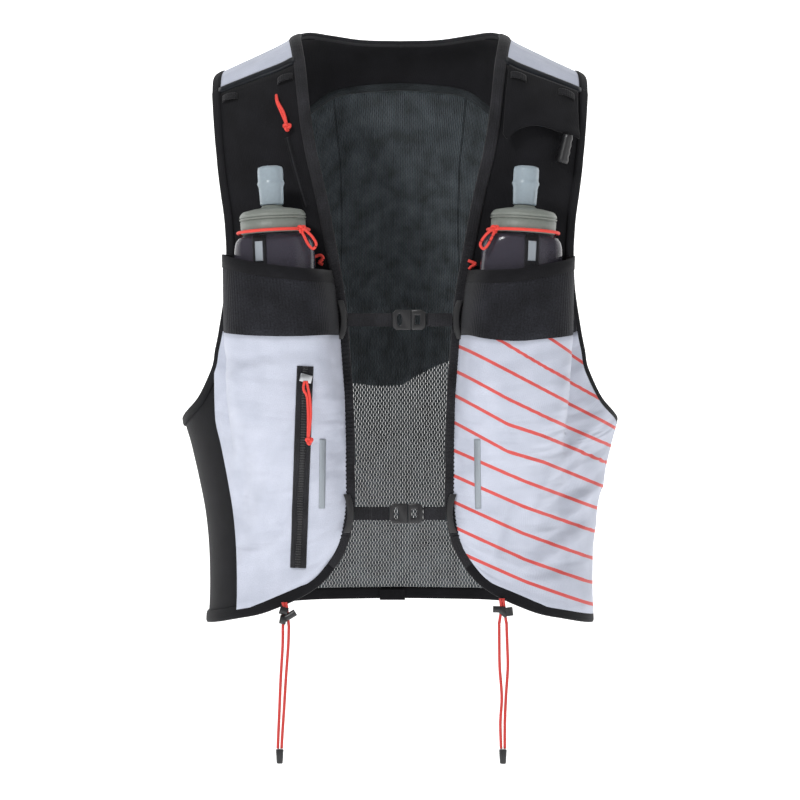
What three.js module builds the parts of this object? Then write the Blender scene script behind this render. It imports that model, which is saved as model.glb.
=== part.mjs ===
// A running hydration vest in the shape that it has when it is worn.
// Millimetres, +Z up. The front faces -Y, and the wearer's right is at -X.
// The origin is at the shoulders, midway between chest and back.
import * as THREE from "three";

// Driving sizes of the worn body
const BODY_LENGTH = 426; // shoulder to lowest hem
const CHEST_HALF = 166; // half the width under the arms
const CHEST_FRONT = 106; // middle of the body to the chest
const CHEST_BACK = 98; // middle of the body to the back
const SQUARENESS = 2.4; // 2 would be an ellipse
const SHOULDER_DROP = 70; // height of the rounding over the shoulder
const SHOULDER_ARC = 110; // length of that rounding along the cloth
const SHOULDER_HALF = 143; // half the width at the shoulders
const NECK_HALF = 76; // half the neck opening at the shoulder line
const COLLAR_RISE = 26; // collar above the shoulder points
const COLLAR_SET = 52; // collar behind the middle of the body
const ARM_DEPTH = 267.5; // shoulder to the bottom of the armhole

// Cloth and trim
const GAP = 0.35; // air between two pieces that meet
const POCKET_AIR = 0.8; // between the front panel and the pocket sewn on it
const CLOTH = 1.3;
const POCKET_CLOTH = 1.2;
const BINDING = 9; // width of the bound edges
const ARM_BINDING = 7.6;
const BINDING_IN = 1.4; // binding behind the cloth's face
const BINDING_OUT = 1.9; // binding in front of it
const BAND_TOP = 45; // satin band, down from the shoulder line
const BAND_WIDTH = 7;
const COLLAR_STATIONS = [0.003, 0.27, 0.53, 0.76, 0.93]; // shares of NECK_HALF
const NECK_TAPER = 0.035; // how far the front edges have come in at the satin band
const CAP_STATIONS = 4;
const ARCH_END = 4; // room round the arch where it meets the armhole
const PIPING = 7;
const PIPING_PAD = 3;
const PIPING_OUT = 0.6;
const MESH = 1;
const BACK_POCKET_AIR = 1.6; // between the net and the layer behind it

// Soft flasks
const FLASK_SHIFT = { right: 1.5, left: -1.1 }; // outwards from the middle of the holster's mouth
const FLASK_LEAN = 3; // degrees, its head outwards
const POCKET_FACING = 12; // degrees outwards from straight ahead
const FLASK_HALF = 30.6;
const FLASK_DEEP = 20; // half its thickness
const FLASK_LENGTH = 148;
const FLASK_TOP = 131; // shoulder line to the top of the flask's body
const CAP_RADIUS = 25;
const CAP_HEIGHT = 21;
const VALVE_RADIUS = 10.2;
const VALVE_HEIGHT = 29;
const FLASK_CORD = 2.4;
const FLASK_SEAT = 6.5; // flask's foot off the chest, so that its middle clears it
const HEAD_SEAT = 1.0; // the cord round its head off the chest
const HOLSTER_SPAN = 47; // half the width of cloth that the flask lifts
const HOLSTER_BACK = 1.5; // the bulge's middle, inwards from the flask's
const HOLSTER_POWER = 4; // 2 would be an elliptical bulge
const SOFT_SPAN = 56; // the same below the armhole, where the cloth falls softer
const SOFT_BEFORE = 29; // it starts this far above the flask's foot
const SOFT_OVER = 45;
const HOLSTER_AIR = 2; // between flask and holster

// Straps, zip, flap and whistle
const STRAP_LEVELS = [195, 340];
const WEBBING_HEIGHT = 10;
const WEBBING = 1.4;
const ELASTIC = 3.2;
const BUCKLE_LENGTH = 25;
const BUCKLE_HEIGHT = 15;
const BUCKLE_THICK = 5;
const HOOK_HEIGHT = 29;
const HOOK_WIDTH = 5;
const HOOK_THICK = 2.6;
const HOOK_BOW = 3; // how far the hook bows towards the strap
const HOOK_STEPS = 6;
const HOOK_IN = 0.5;
const STRAP_EDGES = [39, 34]; // opening edge at each strap, from the middle
const STRAP_AIR = 0.7;
const BUCKLE_STARTS = [-5.6, -8];
const BUCKLE_SPLIT = 0.55;
const ELASTIC_LENGTH = 15;
const ZIP_DROP = 2; // below the top of the pocket
const ZIP_ROOM = 14; // left between the zip and the hem's binding
const ZIP_OUT = 70; // from the middle of the chest
const ZIP_SLANT = 6.5; // its foot further out
const ZIP_WIDTH = 12;
const ZIP_THICK = 1.2;
const SLIDER_LENGTH = 9;
const FLAP_CLOTH = 1.5;
const FLAP_LIFT = 7;
const WHISTLE_LENGTH = 22;
const WHISTLE_RADIUS = 5;
const WHISTLE_RIBS = 4;
const WHISTLE_OUT = 122;
const WHISTLE_LEAN = 13; // degrees
const TRIM_AIR = 0.95;
const STRIP_OUT = 57.5; // reflective strips, from the middle of the chest
const STRIP_DROP = 56; // below the top of the pocket
const STRIP_LENGTH = 52;
const STRIP_WIDTH = 4.5;
const STRIP_THICK = 0.6;
const SLIDER_THICK = 3;
const SLIDER_SEAT = 2;
const TAB_TOP = 403.5;
const TAB_HEIGHT = 9;
const TAB_WIDTH = 20;
const TAB_MIDDLE = -6;

// Cords
const DRAWCORD = 2.2;
const LOCK_HEIGHT = 14;
const LOCK_WIDTH = 17;
const LOCK_DEEP = 8;
const TIP_LENGTH = 11;
const TIP_RADIUS = 3.2;

const DEGREE = Math.PI / 180;
const POWER = 2 / SQUARENESS;

// Sections of the worn body: down is a share of BODY_LENGTH, half of CHEST_HALF,
// front of CHEST_FRONT and back of CHEST_BACK.
const SECTIONS = [
  { down: 0.16, half: 0.965, front: 0.84, back: 0.95 },
  { down: 0.3, half: 0.985, front: 0.94, back: 1.02 },
  { down: 0.45, half: 1.0, front: 1.0, back: 1.0 },
  { down: 0.628, half: 1.0, front: 0.99, back: 0.92 },
  { down: 0.68, half: 0.967, front: 0.975, back: 0.895 },
  { down: 0.743, half: 0.93, front: 0.955, back: 0.875 },
  { down: 0.8, half: 0.902, front: 0.94, back: 0.865 },
  { down: 0.864, half: 0.886, front: 0.93, back: 0.87 },
  { down: 0.94, half: 0.882, front: 0.94, back: 0.9 },
  { down: 1.0, half: 0.889, front: 0.955, back: 0.93 },
];

// Shoulder and collar line: out is a share of SHOULDER_HALF, rise of COLLAR_RISE
// and set, how far behind the middle, of COLLAR_SET.
const SHOULDER_LINE = [
  { out: 0.0, rise: 0.94, set: 1.0 },
  { out: 0.21, rise: 0.96, set: 0.92 },
  { out: 0.385, rise: 1.06, set: 0.65 },
  { out: 0.49, rise: 1.09, set: 0.31 },
  { out: 0.56, rise: 0.97, set: 0.1 },
  { out: 0.63, rise: 0.73, set: 0.0 },
  { out: 0.8, rise: 0.28, set: -0.03 },
  { out: 0.958, rise: -0.13, set: -0.04 },
  { out: 1.02, rise: -0.34, set: -0.04 },
];

// Front opening from the shoulder to the rounded corner at the hem:
// out is a share of NECK_HALF and down of BODY_LENGTH.
const OPENING = [
  { out: 0.888, down: 0.0915 },
  { out: 0.842, down: 0.144 },
  { out: 0.772, down: 0.2 },
  { out: 0.704, down: 0.2535 },
  { out: 0.645, down: 0.31 },
  { out: 0.583, down: 0.3685 },
  { out: 0.533, down: 0.425 },
  { out: 0.503, down: 0.4836 },
  { out: 0.482, down: 0.535 },
  { out: 0.4605, down: 0.587 },
  { out: 0.4526, down: 0.629 },
  { out: 0.447, down: 0.669 },
  { out: 0.4447, down: 0.723 },
  { out: 0.4434, down: 0.777 },
  { out: 0.474, down: 0.826 },
  { out: 0.5395, down: 0.864 },
  { out: 0.645, down: 0.8955 },
];

// Front hem from that corner outwards, with the same shares.
const FRONT_HEM = [
  { out: 0.789, down: 0.925 },
  { out: 0.987, down: 0.948 },
  { out: 1.224, down: 0.967 },
  { out: 1.41, down: 0.979 },
];

// Hem round the side and back: turn is in degrees from the middle of the chest.
const ROUND_HEM = [
  { turn: 53, down: 0.9865 },
  { turn: 66, down: 0.994 },
  { turn: 79, down: 0.998 },
  { turn: 92, down: 0.999 },
  { turn: 103, down: 0.994 },
  { turn: 114, down: 0.987 },
  { turn: 125, down: 0.98 },
  { turn: 136, down: 0.975 },
  { turn: 147, down: 0.971 },
  { turn: 158, down: 0.968 },
  { turn: 169, down: 0.967 },
  { turn: 180, down: 0.966 },
];

// Armhole edge below the satin band: out is a share of SHOULDER_HALF, down of
// ARM_DEPTH. The rows with a turn are the bottom of the armhole.
const ARMHOLE = [
  { out: 0.986, down: 0.179 },
  { out: 0.97, down: 0.269 },
  { out: 0.951, down: 0.355 },
  { out: 0.93, down: 0.43 },
  { out: 0.92, down: 0.49 },
  { out: 0.916, down: 0.546 },
  { out: 0.923, down: 0.643 },
  { out: 0.9545, down: 0.755 },
  { out: 0.9755, down: 0.811 },
  { out: 0.9965, down: 0.867 },
  { out: 1.07, down: 0.946 },
  { turn: 78, down: 0.987 },
  { turn: 90, down: 1.0 },
];
const MOUTH_ROW = 6; // the row of both tables where the holster opens
const POCKET_ROW = 8; // the row where the white pocket begins
const RIGHT_SEAM_ROW = 10; // armhole row where each side's seam starts
const LEFT_SEAM_ROW = 13;
const BACK_SEAM_ROW = 10;
const SIDE_ROWS = 7;
const SEAM_GAP = 0.25; // between two panels at a seam, degrees round the body
const SEAM_CUT = 0.03; // the same at the armhole, as a share of one station

// Piping arch on the back: out is a share of SHOULDER_HALF, down of BODY_LENGTH.
const ARCH = [
  { out: 0.0, down: 0.017 },
  { out: 0.18, down: 0.021 },
  { out: 0.36, down: 0.031 },
  { out: 0.49, down: 0.06 },
  { out: 0.6, down: 0.089 },
  { out: 0.72, down: 0.121 },
  { out: 0.895, down: 0.168 },
];

// Lower edge of the layer behind the net, from -X to +X.
const BACK_POCKET_EDGE = [
  { out: -0.62, down: 0.53 },
  { out: -0.28, down: 0.565 },
  { out: 0.0, down: 0.57 },
  { out: 0.09, down: 0.553 },
  { out: 0.25, down: 0.528 },
  { out: 0.62, down: 0.49 },
];

// Lower edge of the shoulder flap, as shares of SHOULDER_HALF and BODY_LENGTH.
const FLAP_EDGE = [
  { out: 0.53, down: 0.131 },
  { out: 0.55, down: 0.139 },
  { out: 0.6, down: 0.125 },
  { out: 0.66, down: 0.118 },
  { out: 0.715, down: 0.117 },
  { out: 0.775, down: 0.122 },
  { out: 0.82, down: 0.127 },
  { out: 0.875, down: 0.129 },
  { out: 0.915, down: 0.137 },
];

// How much of the holster's bulge is left. past is how far below the flask's foot, as a
// share of the way on to the hem, and is negative above the foot.
const BULGE = [
  { past: -1.0, left: 1.0 },
  { past: -0.6, left: 1.0 },
  { past: -0.16, left: 0.985 },
  { past: 0.073, left: 0.8 },
  { past: 0.304, left: 0.42 },
  { past: 0.565, left: 0.14 },
  { past: 0.768, left: 0.0 },
  { past: 1.0, left: 0.0 },
];

// Flask body from bottom to top: up is a share of FLASK_LENGTH.
const FLASK_BODY = [
  { up: 0.0, wide: 0.55, deep: 0.3 },
  { up: 0.03, wide: 0.72, deep: 0.6 },
  { up: 0.12, wide: 0.86, deep: 0.9 },
  { up: 0.3, wide: 1.0, deep: 1.0 },
  { up: 0.8, wide: 1.0, deep: 0.98 },
  { up: 0.91, wide: 0.98, deep: 0.95 },
  { up: 0.955, wide: 0.9, deep: 0.93 },
  { up: 0.975, wide: 0.74, deep: 0.9 },
  { up: 1.0, wide: 0.7, deep: 0.88 },
];

// Outline of the cap and of the valve: shares of their radius and height.
const CAP_PROFILE = [
  [0, 0], [0.98, 0], [1, 0.07], [1, 0.3], [0.955, 0.37], [1, 0.44],
  [0.94, 0.57], [0.88, 0.76], [0.7, 0.87], [0.3, 0.95], [0.3, 1], [0, 1],
];
const VALVE_PROFILE = [
  [0, 0], [0.8, 0], [0.86, 0.3], [0.92, 0.48], [1, 0.5], [1, 0.58], [0.94, 0.6],
  [0.98, 0.66], [0.98, 0.87], [0.88, 0.96], [0.6, 1], [0, 1],
];
const FLASK_SIDES = 16;

// Value of one column where another has the value at, smooth between rows.
function column(rows, along, key, at) {
  const last = rows.length - 1;
  if (at <= rows[0][along]) return rows[0][key];
  if (at >= rows[last][along]) return rows[last][key];
  let i = 0;
  while (at > rows[i + 1][along]) i += 1;
  const slope = (a, b) => (rows[b][key] - rows[a][key]) / (rows[b][along] - rows[a][along]);
  const width = rows[i + 1][along] - rows[i][along];
  const start = slope(Math.max(i - 1, 0), i + 1) * width;
  const end = slope(i, Math.min(i + 2, last)) * width;
  const u = (at - rows[i][along]) / width;
  const u2 = u * u;
  const u3 = u2 * u;
  return (
    (2 * u3 - 3 * u2 + 1) * rows[i][key] +
    (u3 - 2 * u2 + u) * start +
    (3 * u2 - 2 * u3) * rows[i + 1][key] +
    (u3 - u2) * end
  );
}

function shoulderLine(x) {
  const out = Math.abs(x) / SHOULDER_HALF;
  return {
    y: COLLAR_SET * column(SHOULDER_LINE, "out", "set", out),
    z: COLLAR_RISE * column(SHOULDER_LINE, "out", "rise", out),
  };
}

// The worn surface. turn is the angle round the body from the middle of the
// chest, positive to +X, and drop the way down from the shoulder line.
function skinPoint(turn, drop) {
  const z = -SHOULDER_DROP - Math.max(drop - SHOULDER_ARC, 0);
  const share = -z / BODY_LENGTH;
  const s = Math.sin(turn * DEGREE);
  const c = Math.cos(turn * DEGREE);
  const half = CHEST_HALF * column(SECTIONS, "down", "half", share);
  const front = CHEST_FRONT * column(SECTIONS, "down", "front", share);
  const back = CHEST_BACK * column(SECTIONS, "down", "back", share);
  const x = half * Math.sign(s) * Math.abs(s) ** POWER;
  const y = -(c > 0 ? front : back) * Math.sign(c) * Math.abs(c) ** POWER;
  if (drop >= SHOULDER_ARC) return new THREE.Vector3(x, y, z);
  const swing = ((drop / SHOULDER_ARC) * Math.PI) / 2;
  const line = shoulderLine(x);
  return new THREE.Vector3(
    x,
    line.y + (y - line.y) * Math.sin(swing),
    z + (line.z - z) * Math.cos(swing),
  );
}

// How the surface runs at a place: per degree, per millimetre down, outwards.
function skinRun(at) {
  const step = 0.5;
  const round = skinPoint(at.turn + step, at.drop)
    .sub(skinPoint(at.turn - step, at.drop))
    .divideScalar(2 * step);
  const down = skinPoint(at.turn, at.drop + step)
    .sub(skinPoint(at.turn, at.drop - step))
    .divideScalar(2 * step);
  return { round, down, out: down.clone().cross(round).normalize() };
}

// The point that stands off the surface by lift. Where the place has a facing,
// its own lift goes that way and only the rest goes straight out.
function skin(at, lift) {
  if (at.point) return at.point.clone().addScaledVector(at.out, lift);
  const point = skinPoint(at.turn, at.drop);
  const straight = at.facing ? lift - at.lift : lift;
  if (at.facing) point.addScaledVector(at.facing, at.lift);
  return point.addScaledVector(skinRun(at).out, straight);
}

// The place on the surface that has this x and z, on the chest or on the back.
function placeAt(x, z, onBack = false) {
  const share = Math.max(-z, SHOULDER_DROP) / BODY_LENGTH;
  const half = CHEST_HALF * column(SECTIONS, "down", "half", share);
  const round = Math.asin(Math.min(Math.abs(x) / half, 1) ** (1 / POWER)) / DEGREE;
  const side = x < 0 ? -1 : 1;
  let drop = SHOULDER_ARC - SHOULDER_DROP - z;
  if (z > -SHOULDER_DROP) {
    const part = (z + SHOULDER_DROP) / (shoulderLine(x).z + SHOULDER_DROP);
    drop = (SHOULDER_ARC * Math.acos(Math.min(part, 1))) / (Math.PI / 2);
  }
  if (!onBack) return { turn: side * round, drop };
  return { turn: x < 0 ? 180 + round : 180 - round, drop };
}

// A place on the shoulder: over is negative on the chest, positive on the back.
function placeOver(x, over) {
  const place = placeAt(x, -SHOULDER_DROP, over > 0);
  return { turn: place.turn, drop: Math.abs(over) };
}

// Moves a place on the surface sideways from a line by a real distance.
function aside(at, before, after, distance) {
  const run = skinRun(at);
  const along = skinPoint(after.turn, after.drop).sub(skinPoint(before.turn, before.drop));
  const way = along.cross(run.out).normalize().multiplyScalar(distance);
  const rr = run.round.dot(run.round);
  const dd = run.down.dot(run.down);
  const rd = run.round.dot(run.down);
  const r = run.round.dot(way);
  const d = run.down.dot(way);
  const scale = rr * dd - rd * rd;
  return {
    turn: at.turn + (dd * r - rd * d) / scale,
    drop: at.drop + (rr * d - rd * r) / scale,
  };
}

function asideLine(line, distance, closed = false) {
  const n = line.length;
  return line.map((at, i) => {
    const before = closed ? line[(i + n - 1) % n] : line[Math.max(i - 1, 0)];
    const after = closed ? line[(i + 1) % n] : line[Math.min(i + 1, n - 1)];
    return aside(at, before, after, distance);
  });
}

function between(a, b, u) {
  const mix = (key) => a[key] + (b[key] - a[key]) * u;
  return { turn: mix("turn"), drop: mix("drop"), lift: mix("lift"), facing: a.facing };
}

// The point a share of the way along a line of places.
function alongLine(line, share) {
  const at = share * (line.length - 1);
  const i = Math.min(Math.floor(at), line.length - 2);
  return between(line[i], line[i + 1], at - i);
}

// How far along a pair of opposite edges each of count equal stations lies.
function stationShares(one, other, count) {
  const way = (line) => {
    const far = [0];
    for (let i = 1; i <= count; i += 1) {
      const a = alongLine(line, (i - 1) / count);
      const b = alongLine(line, i / count);
      const length = skinPoint(a.turn, a.drop).distanceTo(skinPoint(b.turn, b.drop));
      far.push(far[i - 1] + length);
    }
    return far.map((length) => length / far[count]);
  };
  const second = way(other);
  return way(one).map((share, i) => (share + second[i]) / 2);
}

// A patch of the surface between four edges that meet at its corners.
function patch(top, bottom, left, right, columns, rows) {
  const grid = [];
  const across = stationShares(top, bottom, columns);
  const downward = stationShares(left, right, rows);
  for (let i = 0; i <= rows; i += 1) {
    const v = downward[i];
    const a = alongLine(left, i / rows);
    const b = alongLine(right, i / rows);
    const row = [];
    for (let j = 0; j <= columns; j += 1) {
      const u = across[j];
      const t = alongLine(top, j / columns);
      const m = alongLine(bottom, j / columns);
      const place = {};
      for (const key of ["turn", "drop"]) {
        const sides = (1 - u) * a[key] + u * b[key];
        const ends = (1 - v) * t[key] + v * m[key];
        const corners =
          (1 - v) * ((1 - u) * top[0][key] + u * top.at(-1)[key]) +
          v * ((1 - u) * bottom[0][key] + u * bottom.at(-1)[key]);
        place[key] = sides + ends - corners;
      }
      row.push(place);
    }
    grid.push(row);
  }
  return grid;
}

// A strip of the surface between two lines of places.
function strip(first, second) {
  return first.map((at, i) => [at, second[i]]);
}

function meshBody(points, triangles) {
  let volume = 0;
  for (const [a, b, c] of triangles) {
    volume += points[a].dot(points[b].clone().cross(points[c]));
  }
  const index = triangles.flatMap(([a, b, c]) => (volume > 0 ? [a, b, c] : [a, c, b]));
  const geometry = new THREE.BufferGeometry();
  geometry.setAttribute(
    "position",
    new THREE.Float32BufferAttribute(points.flatMap((p) => p.toArray()), 3),
  );
  geometry.setIndex(index);
  geometry.computeVertexNormals();
  return geometry;
}

// Gives a grid of places its thickness. outer and inner are how far its two
// faces stand off the surface, as numbers or as functions of the place.
function wall(grid, outer, inner, closed = false) {
  const rows = grid.length;
  const columns = grid[0].length;
  const lift = (rule, at) => (typeof rule === "function" ? rule(at) : rule);
  const points = [];
  for (const rule of [outer, inner]) {
    for (const row of grid) {
      for (const at of row) points.push(skin(at, lift(rule, at)));
    }
  }
  const front = (i, j) => (i % rows) * columns + j;
  const rear = (i, j) => rows * columns + front(i, j);
  const triangles = [];
  const quad = (a, b, c, d) => triangles.push([a, b, c], [a, c, d]);
  const spans = closed ? rows : rows - 1;
  for (let i = 0; i < spans; i += 1) {
    for (let j = 0; j < columns - 1; j += 1) {
      quad(front(i, j), front(i + 1, j), front(i + 1, j + 1), front(i, j + 1));
      quad(rear(i, j), rear(i, j + 1), rear(i + 1, j + 1), rear(i + 1, j));
    }
    quad(front(i, 0), rear(i, 0), rear(i + 1, 0), front(i + 1, 0));
    const j = columns - 1;
    quad(front(i, j), front(i + 1, j), rear(i + 1, j), rear(i, j));
  }
  for (let j = 0; j < columns - 1 && !closed; j += 1) {
    quad(front(0, j), front(0, j + 1), rear(0, j + 1), rear(0, j));
    const i = rows - 1;
    quad(front(i, j), rear(i, j), rear(i, j + 1), front(i, j + 1));
  }
  return meshBody(points, triangles);
}

// A solid through rings of points, closed by a fan at each end.
function loft(rings) {
  const sides = rings[0].length;
  const points = rings.flat();
  const triangles = [];
  for (let i = 0; i < rings.length - 1; i += 1) {
    for (let j = 0; j < sides; j += 1) {
      const a = i * sides + j;
      const b = i * sides + ((j + 1) % sides);
      triangles.push([a, b, b + sides], [a, b + sides, a + sides]);
    }
  }
  for (const [ring, turned] of [[0, true], [rings.length - 1, false]]) {
    const middle = new THREE.Vector3();
    rings[ring].forEach((p) => middle.addScaledVector(p, 1 / sides));
    points.push(middle);
    const hub = points.length - 1;
    for (let j = 0; j < sides; j += 1) {
      const a = ring * sides + j;
      const b = ring * sides + ((j + 1) % sides);
      triangles.push(turned ? [hub, b, a] : [hub, a, b]);
    }
  }
  return meshBody(points, triangles);
}

const vest = new THREE.Group();

const FINISH = {
  stretch: { color: 0x1f1f23, roughness: 0.85, metalness: 0 },
  webbing: { color: 0x2c2c2f, roughness: 0.8, metalness: 0 },
  satin: { color: 0x262b31, roughness: 0.45, metalness: 0 },
  net: { color: 0x2b3134, roughness: 0.8, metalness: 0 },
  white: { color: 0xdfe2ee, roughness: 0.75, metalness: 0 },
  plastic: { color: 0x3f3f40, roughness: 0.45, metalness: 0 },
  cap: { color: 0x8c918b, roughness: 0.5, metalness: 0 },
  valve: { color: 0xb5c3cc, roughness: 0.3, metalness: 0 },
  flask: { color: 0x5d5a68, roughness: 0.25, metalness: 0 },
  red: { color: 0xe04438, roughness: 0.7, metalness: 0 },
  metal: { color: 0xb8babd, roughness: 0.3, metalness: 1 },
};

function add(name, geometry, finish, parent = vest) {
  const mesh = new THREE.Mesh(geometry, new THREE.MeshStandardMaterial(FINISH[finish]));
  mesh.name = name;
  parent.add(mesh);
  return mesh;
}

function mirrored(line) {
  return line.map((at) => ({ turn: -at.turn, drop: at.drop }));
}

// Edge lines on the +X side; the -X side is their mirror image.
const bandBottom = BAND_TOP + BAND_WIDTH + GAP;

const collarLine = COLLAR_STATIONS.map((share) => placeOver(NECK_HALF * share, GAP));
const openingLine = [
  ...collarLine,
  placeOver(NECK_HALF, -GAP),
  placeOver(NECK_HALF, -BAND_TOP / 4),
  placeOver(NECK_HALF, -BAND_TOP / 2),
  placeOver(NECK_HALF * 0.965, -BAND_TOP),
  placeOver(NECK_HALF * 0.95, -bandBottom),
  ...OPENING.map((row) => placeAt(row.out * NECK_HALF, -row.down * BODY_LENGTH)),
];
const OPENING_START_STATION = COLLAR_STATIONS.length + 4; // stations above the band's lower edge

const hemFront = FRONT_HEM.map((row) => placeAt(row.out * NECK_HALF, -row.down * BODY_LENGTH));
const hemRound = ROUND_HEM.map((row) => ({
  turn: row.turn,
  drop: SHOULDER_ARC - SHOULDER_DROP + row.down * BODY_LENGTH,
}));
const hemLine = [openingLine.at(-1), ...hemFront, ...hemRound];
const RIGHT_HEM_SEAM = 1 + hemFront.length; // hem station of each side seam
const LEFT_HEM_SEAM = RIGHT_HEM_SEAM + 3;
const BACK_HEM_SEAM = RIGHT_HEM_SEAM + 6;

function armPlaces(onBack) {
  return ARMHOLE.map((row) => {
    if (row.turn === undefined) {
      return placeAt(row.out * SHOULDER_HALF, -row.down * ARM_DEPTH, onBack);
    }
    const drop = SHOULDER_ARC - SHOULDER_DROP + row.down * ARM_DEPTH;
    return { turn: onBack ? 180 - row.turn : row.turn, drop };
  });
}
const SHOULDER_TOP = SHOULDER_HALF * 0.986;
const armFront = [
  placeOver(SHOULDER_TOP, -GAP),
  placeOver(SHOULDER_HALF, -BAND_TOP / 2),
  placeOver(SHOULDER_HALF, -BAND_TOP),
  placeOver(SHOULDER_HALF, -bandBottom),
  ...armPlaces(false),
];
const ARM_START_STATION = 3; // armhole stations above the satin band's lower edge
const BACK_SEAM_STATION = ARM_START_STATION + 2 * ARMHOLE.length - BACK_SEAM_ROW;
const armBack = [
  placeOver(SHOULDER_TOP, BINDING + 3 * GAP),
  placeOver(SHOULDER_HALF, BAND_TOP / 2),
  placeOver(SHOULDER_HALF, BAND_TOP),
  ...armPlaces(true),
];
const armLine = [...armFront, ...armBack.slice(0, -1).reverse()];

// The opening and the hem are one edge, so their bindings meet at the corner.
const wholeEdge = [...openingLine, ...hemLine.slice(1)];
const openingStations = openingLine.length;
const wholeBound = asideLine(wholeEdge, -BINDING);
const openingEdge = wholeBound.slice(0, openingStations);
const hemEdge = wholeBound.slice(openingStations - 1);
const wholeInside = asideLine(wholeEdge, -(BINDING + GAP));
const openingInside = wholeInside.slice(0, openingStations);
const hemInside = wholeInside.slice(openingStations - 1);
openingInside[OPENING_START_STATION].drop = bandBottom;
const armInside = asideLine(armLine, ARM_BINDING + GAP, true);
armInside[ARM_START_STATION].drop = bandBottom;

// Outer edge of a front panel: down the armhole, then down the side seam.
function frontOuter(seamRow, hemSeam) {
  const arm = armInside.slice(ARM_START_STATION, ARM_START_STATION + seamRow + 1);
  const seam = [];
  const spans = OPENING.length - seamRow;
  for (let i = 1; i <= spans; i += 1) {
    seam.push(between(arm.at(-1), hemInside[hemSeam], i / spans));
  }
  return [...arm, ...seam];
}

// The way that a flask and the pocket over it face.
function pocketFacing(side) {
  const angle = POCKET_FACING * DEGREE;
  return new THREE.Vector3(side * Math.sin(angle), -Math.cos(angle), 0);
}

// How far out a flask's middle line is at a height; its head leans outwards.
function flaskLine(flaskOut, z) {
  return flaskOut - Math.max(0, -z - FLASK_TOP) * Math.tan(FLASK_LEAN * DEGREE);
}

// Works out how far the flask lifts the pocket cloth at each place of a grid.
function fillPocket(grid, side, flaskOut) {
  const height = FLASK_DEEP + CAP_RADIUS + 1.5 * FLASK_CORD + HOLSTER_AIR;
  const facing = pocketFacing(side);
  const footDepth = FLASK_TOP + FLASK_LENGTH;
  for (const row of grid) {
    const points = row.map((at) => skinPoint(at.turn, at.drop));
    const far = [0];
    for (let j = 1; j < row.length; j += 1) {
      far.push(far[j - 1] + points[j].distanceTo(points[j - 1]));
    }
    const out = flaskLine(flaskOut, points[0].z) - HOLSTER_BACK;
    const j = Math.max(points.findIndex((p) => Math.abs(p.x) > out), 1);
    const before = Math.abs(points[j - 1].x);
    const share = (out - before) / (Math.abs(points[j].x) - before);
    const middle = far[j - 1] + (far[j] - far[j - 1]) * share;
    const inSpan = Math.min(middle, HOLSTER_SPAN);
    const outSpan = Math.min(far.at(-1) - middle, HOLSTER_SPAN);
    row.forEach((at, k) => {
      const span = far[k] < middle ? inSpan : outSpan;
      const q = Math.min(Math.abs(far[k] - middle) / span, 1);
      const softTop = footDepth - SOFT_BEFORE;
      const soft = Math.min(1, Math.max(0, (-points[k].z - softTop) / SOFT_OVER));
      const room = far[k] < middle ? middle : far.at(-1) - middle;
      const wide = Math.min(Math.abs(far[k] - middle) / Math.min(room, SOFT_SPAN), 1);
      const firm = (1 - q ** HOLSTER_POWER) ** (1 / HOLSTER_POWER);
      const dome = firm + ((1 - wide ** 3) ** 1.5 - firm) * soft;
      const past = (-points[k].z - footDepth) / (BODY_LENGTH - footDepth);
      at.lift = height * dome * column(BULGE, "past", "left", past);
      at.facing = facing;
    });
  }
}
const pockets = {};

// The place on a pocket's outer face that has this x and z.
function pocketPlace(grid, x, z) {
  const faceAt = (at) => ({ p: skin(at, pocketOuter(at)), out: skinRun(at).out });
  const faces = grid.map((row) => row.map(faceAt));
  for (let i = 0; i < grid.length - 1; i += 1) {
    for (let j = 0; j < grid[0].length - 1; j += 1) {
      const [a, b, c, d] = [faces[i][j], faces[i + 1][j], faces[i + 1][j + 1], faces[i][j + 1]];
      for (const [k, m, n] of [[a, b, c], [a, c, d]]) {
        const area = (m.p.x - k.p.x) * (n.p.z - k.p.z) - (n.p.x - k.p.x) * (m.p.z - k.p.z);
        const v = ((x - k.p.x) * (n.p.z - k.p.z) - (n.p.x - k.p.x) * (z - k.p.z)) / area;
        const w = ((m.p.x - k.p.x) * (z - k.p.z) - (x - k.p.x) * (m.p.z - k.p.z)) / area;
        if (v < -1e-6 || w < -1e-6 || v + w > 1 + 1e-6) continue;
        const mix = (key) => k[key].clone().multiplyScalar(1 - v - w)
          .addScaledVector(m[key], v).addScaledVector(n[key], w);
        const face = m.p.clone().sub(k.p).cross(n.p.clone().sub(k.p)).normalize();
        if (face.y > 0) face.negate();
        return { point: mix("p"), out: face };
      }
    }
  }
  throw new Error(`no pocket at ${x} ${z}`);
}
const pocketInner = (at) => POCKET_AIR + at.lift;
const pocketOuter = (at) => POCKET_AIR + POCKET_CLOTH + at.lift;

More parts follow.
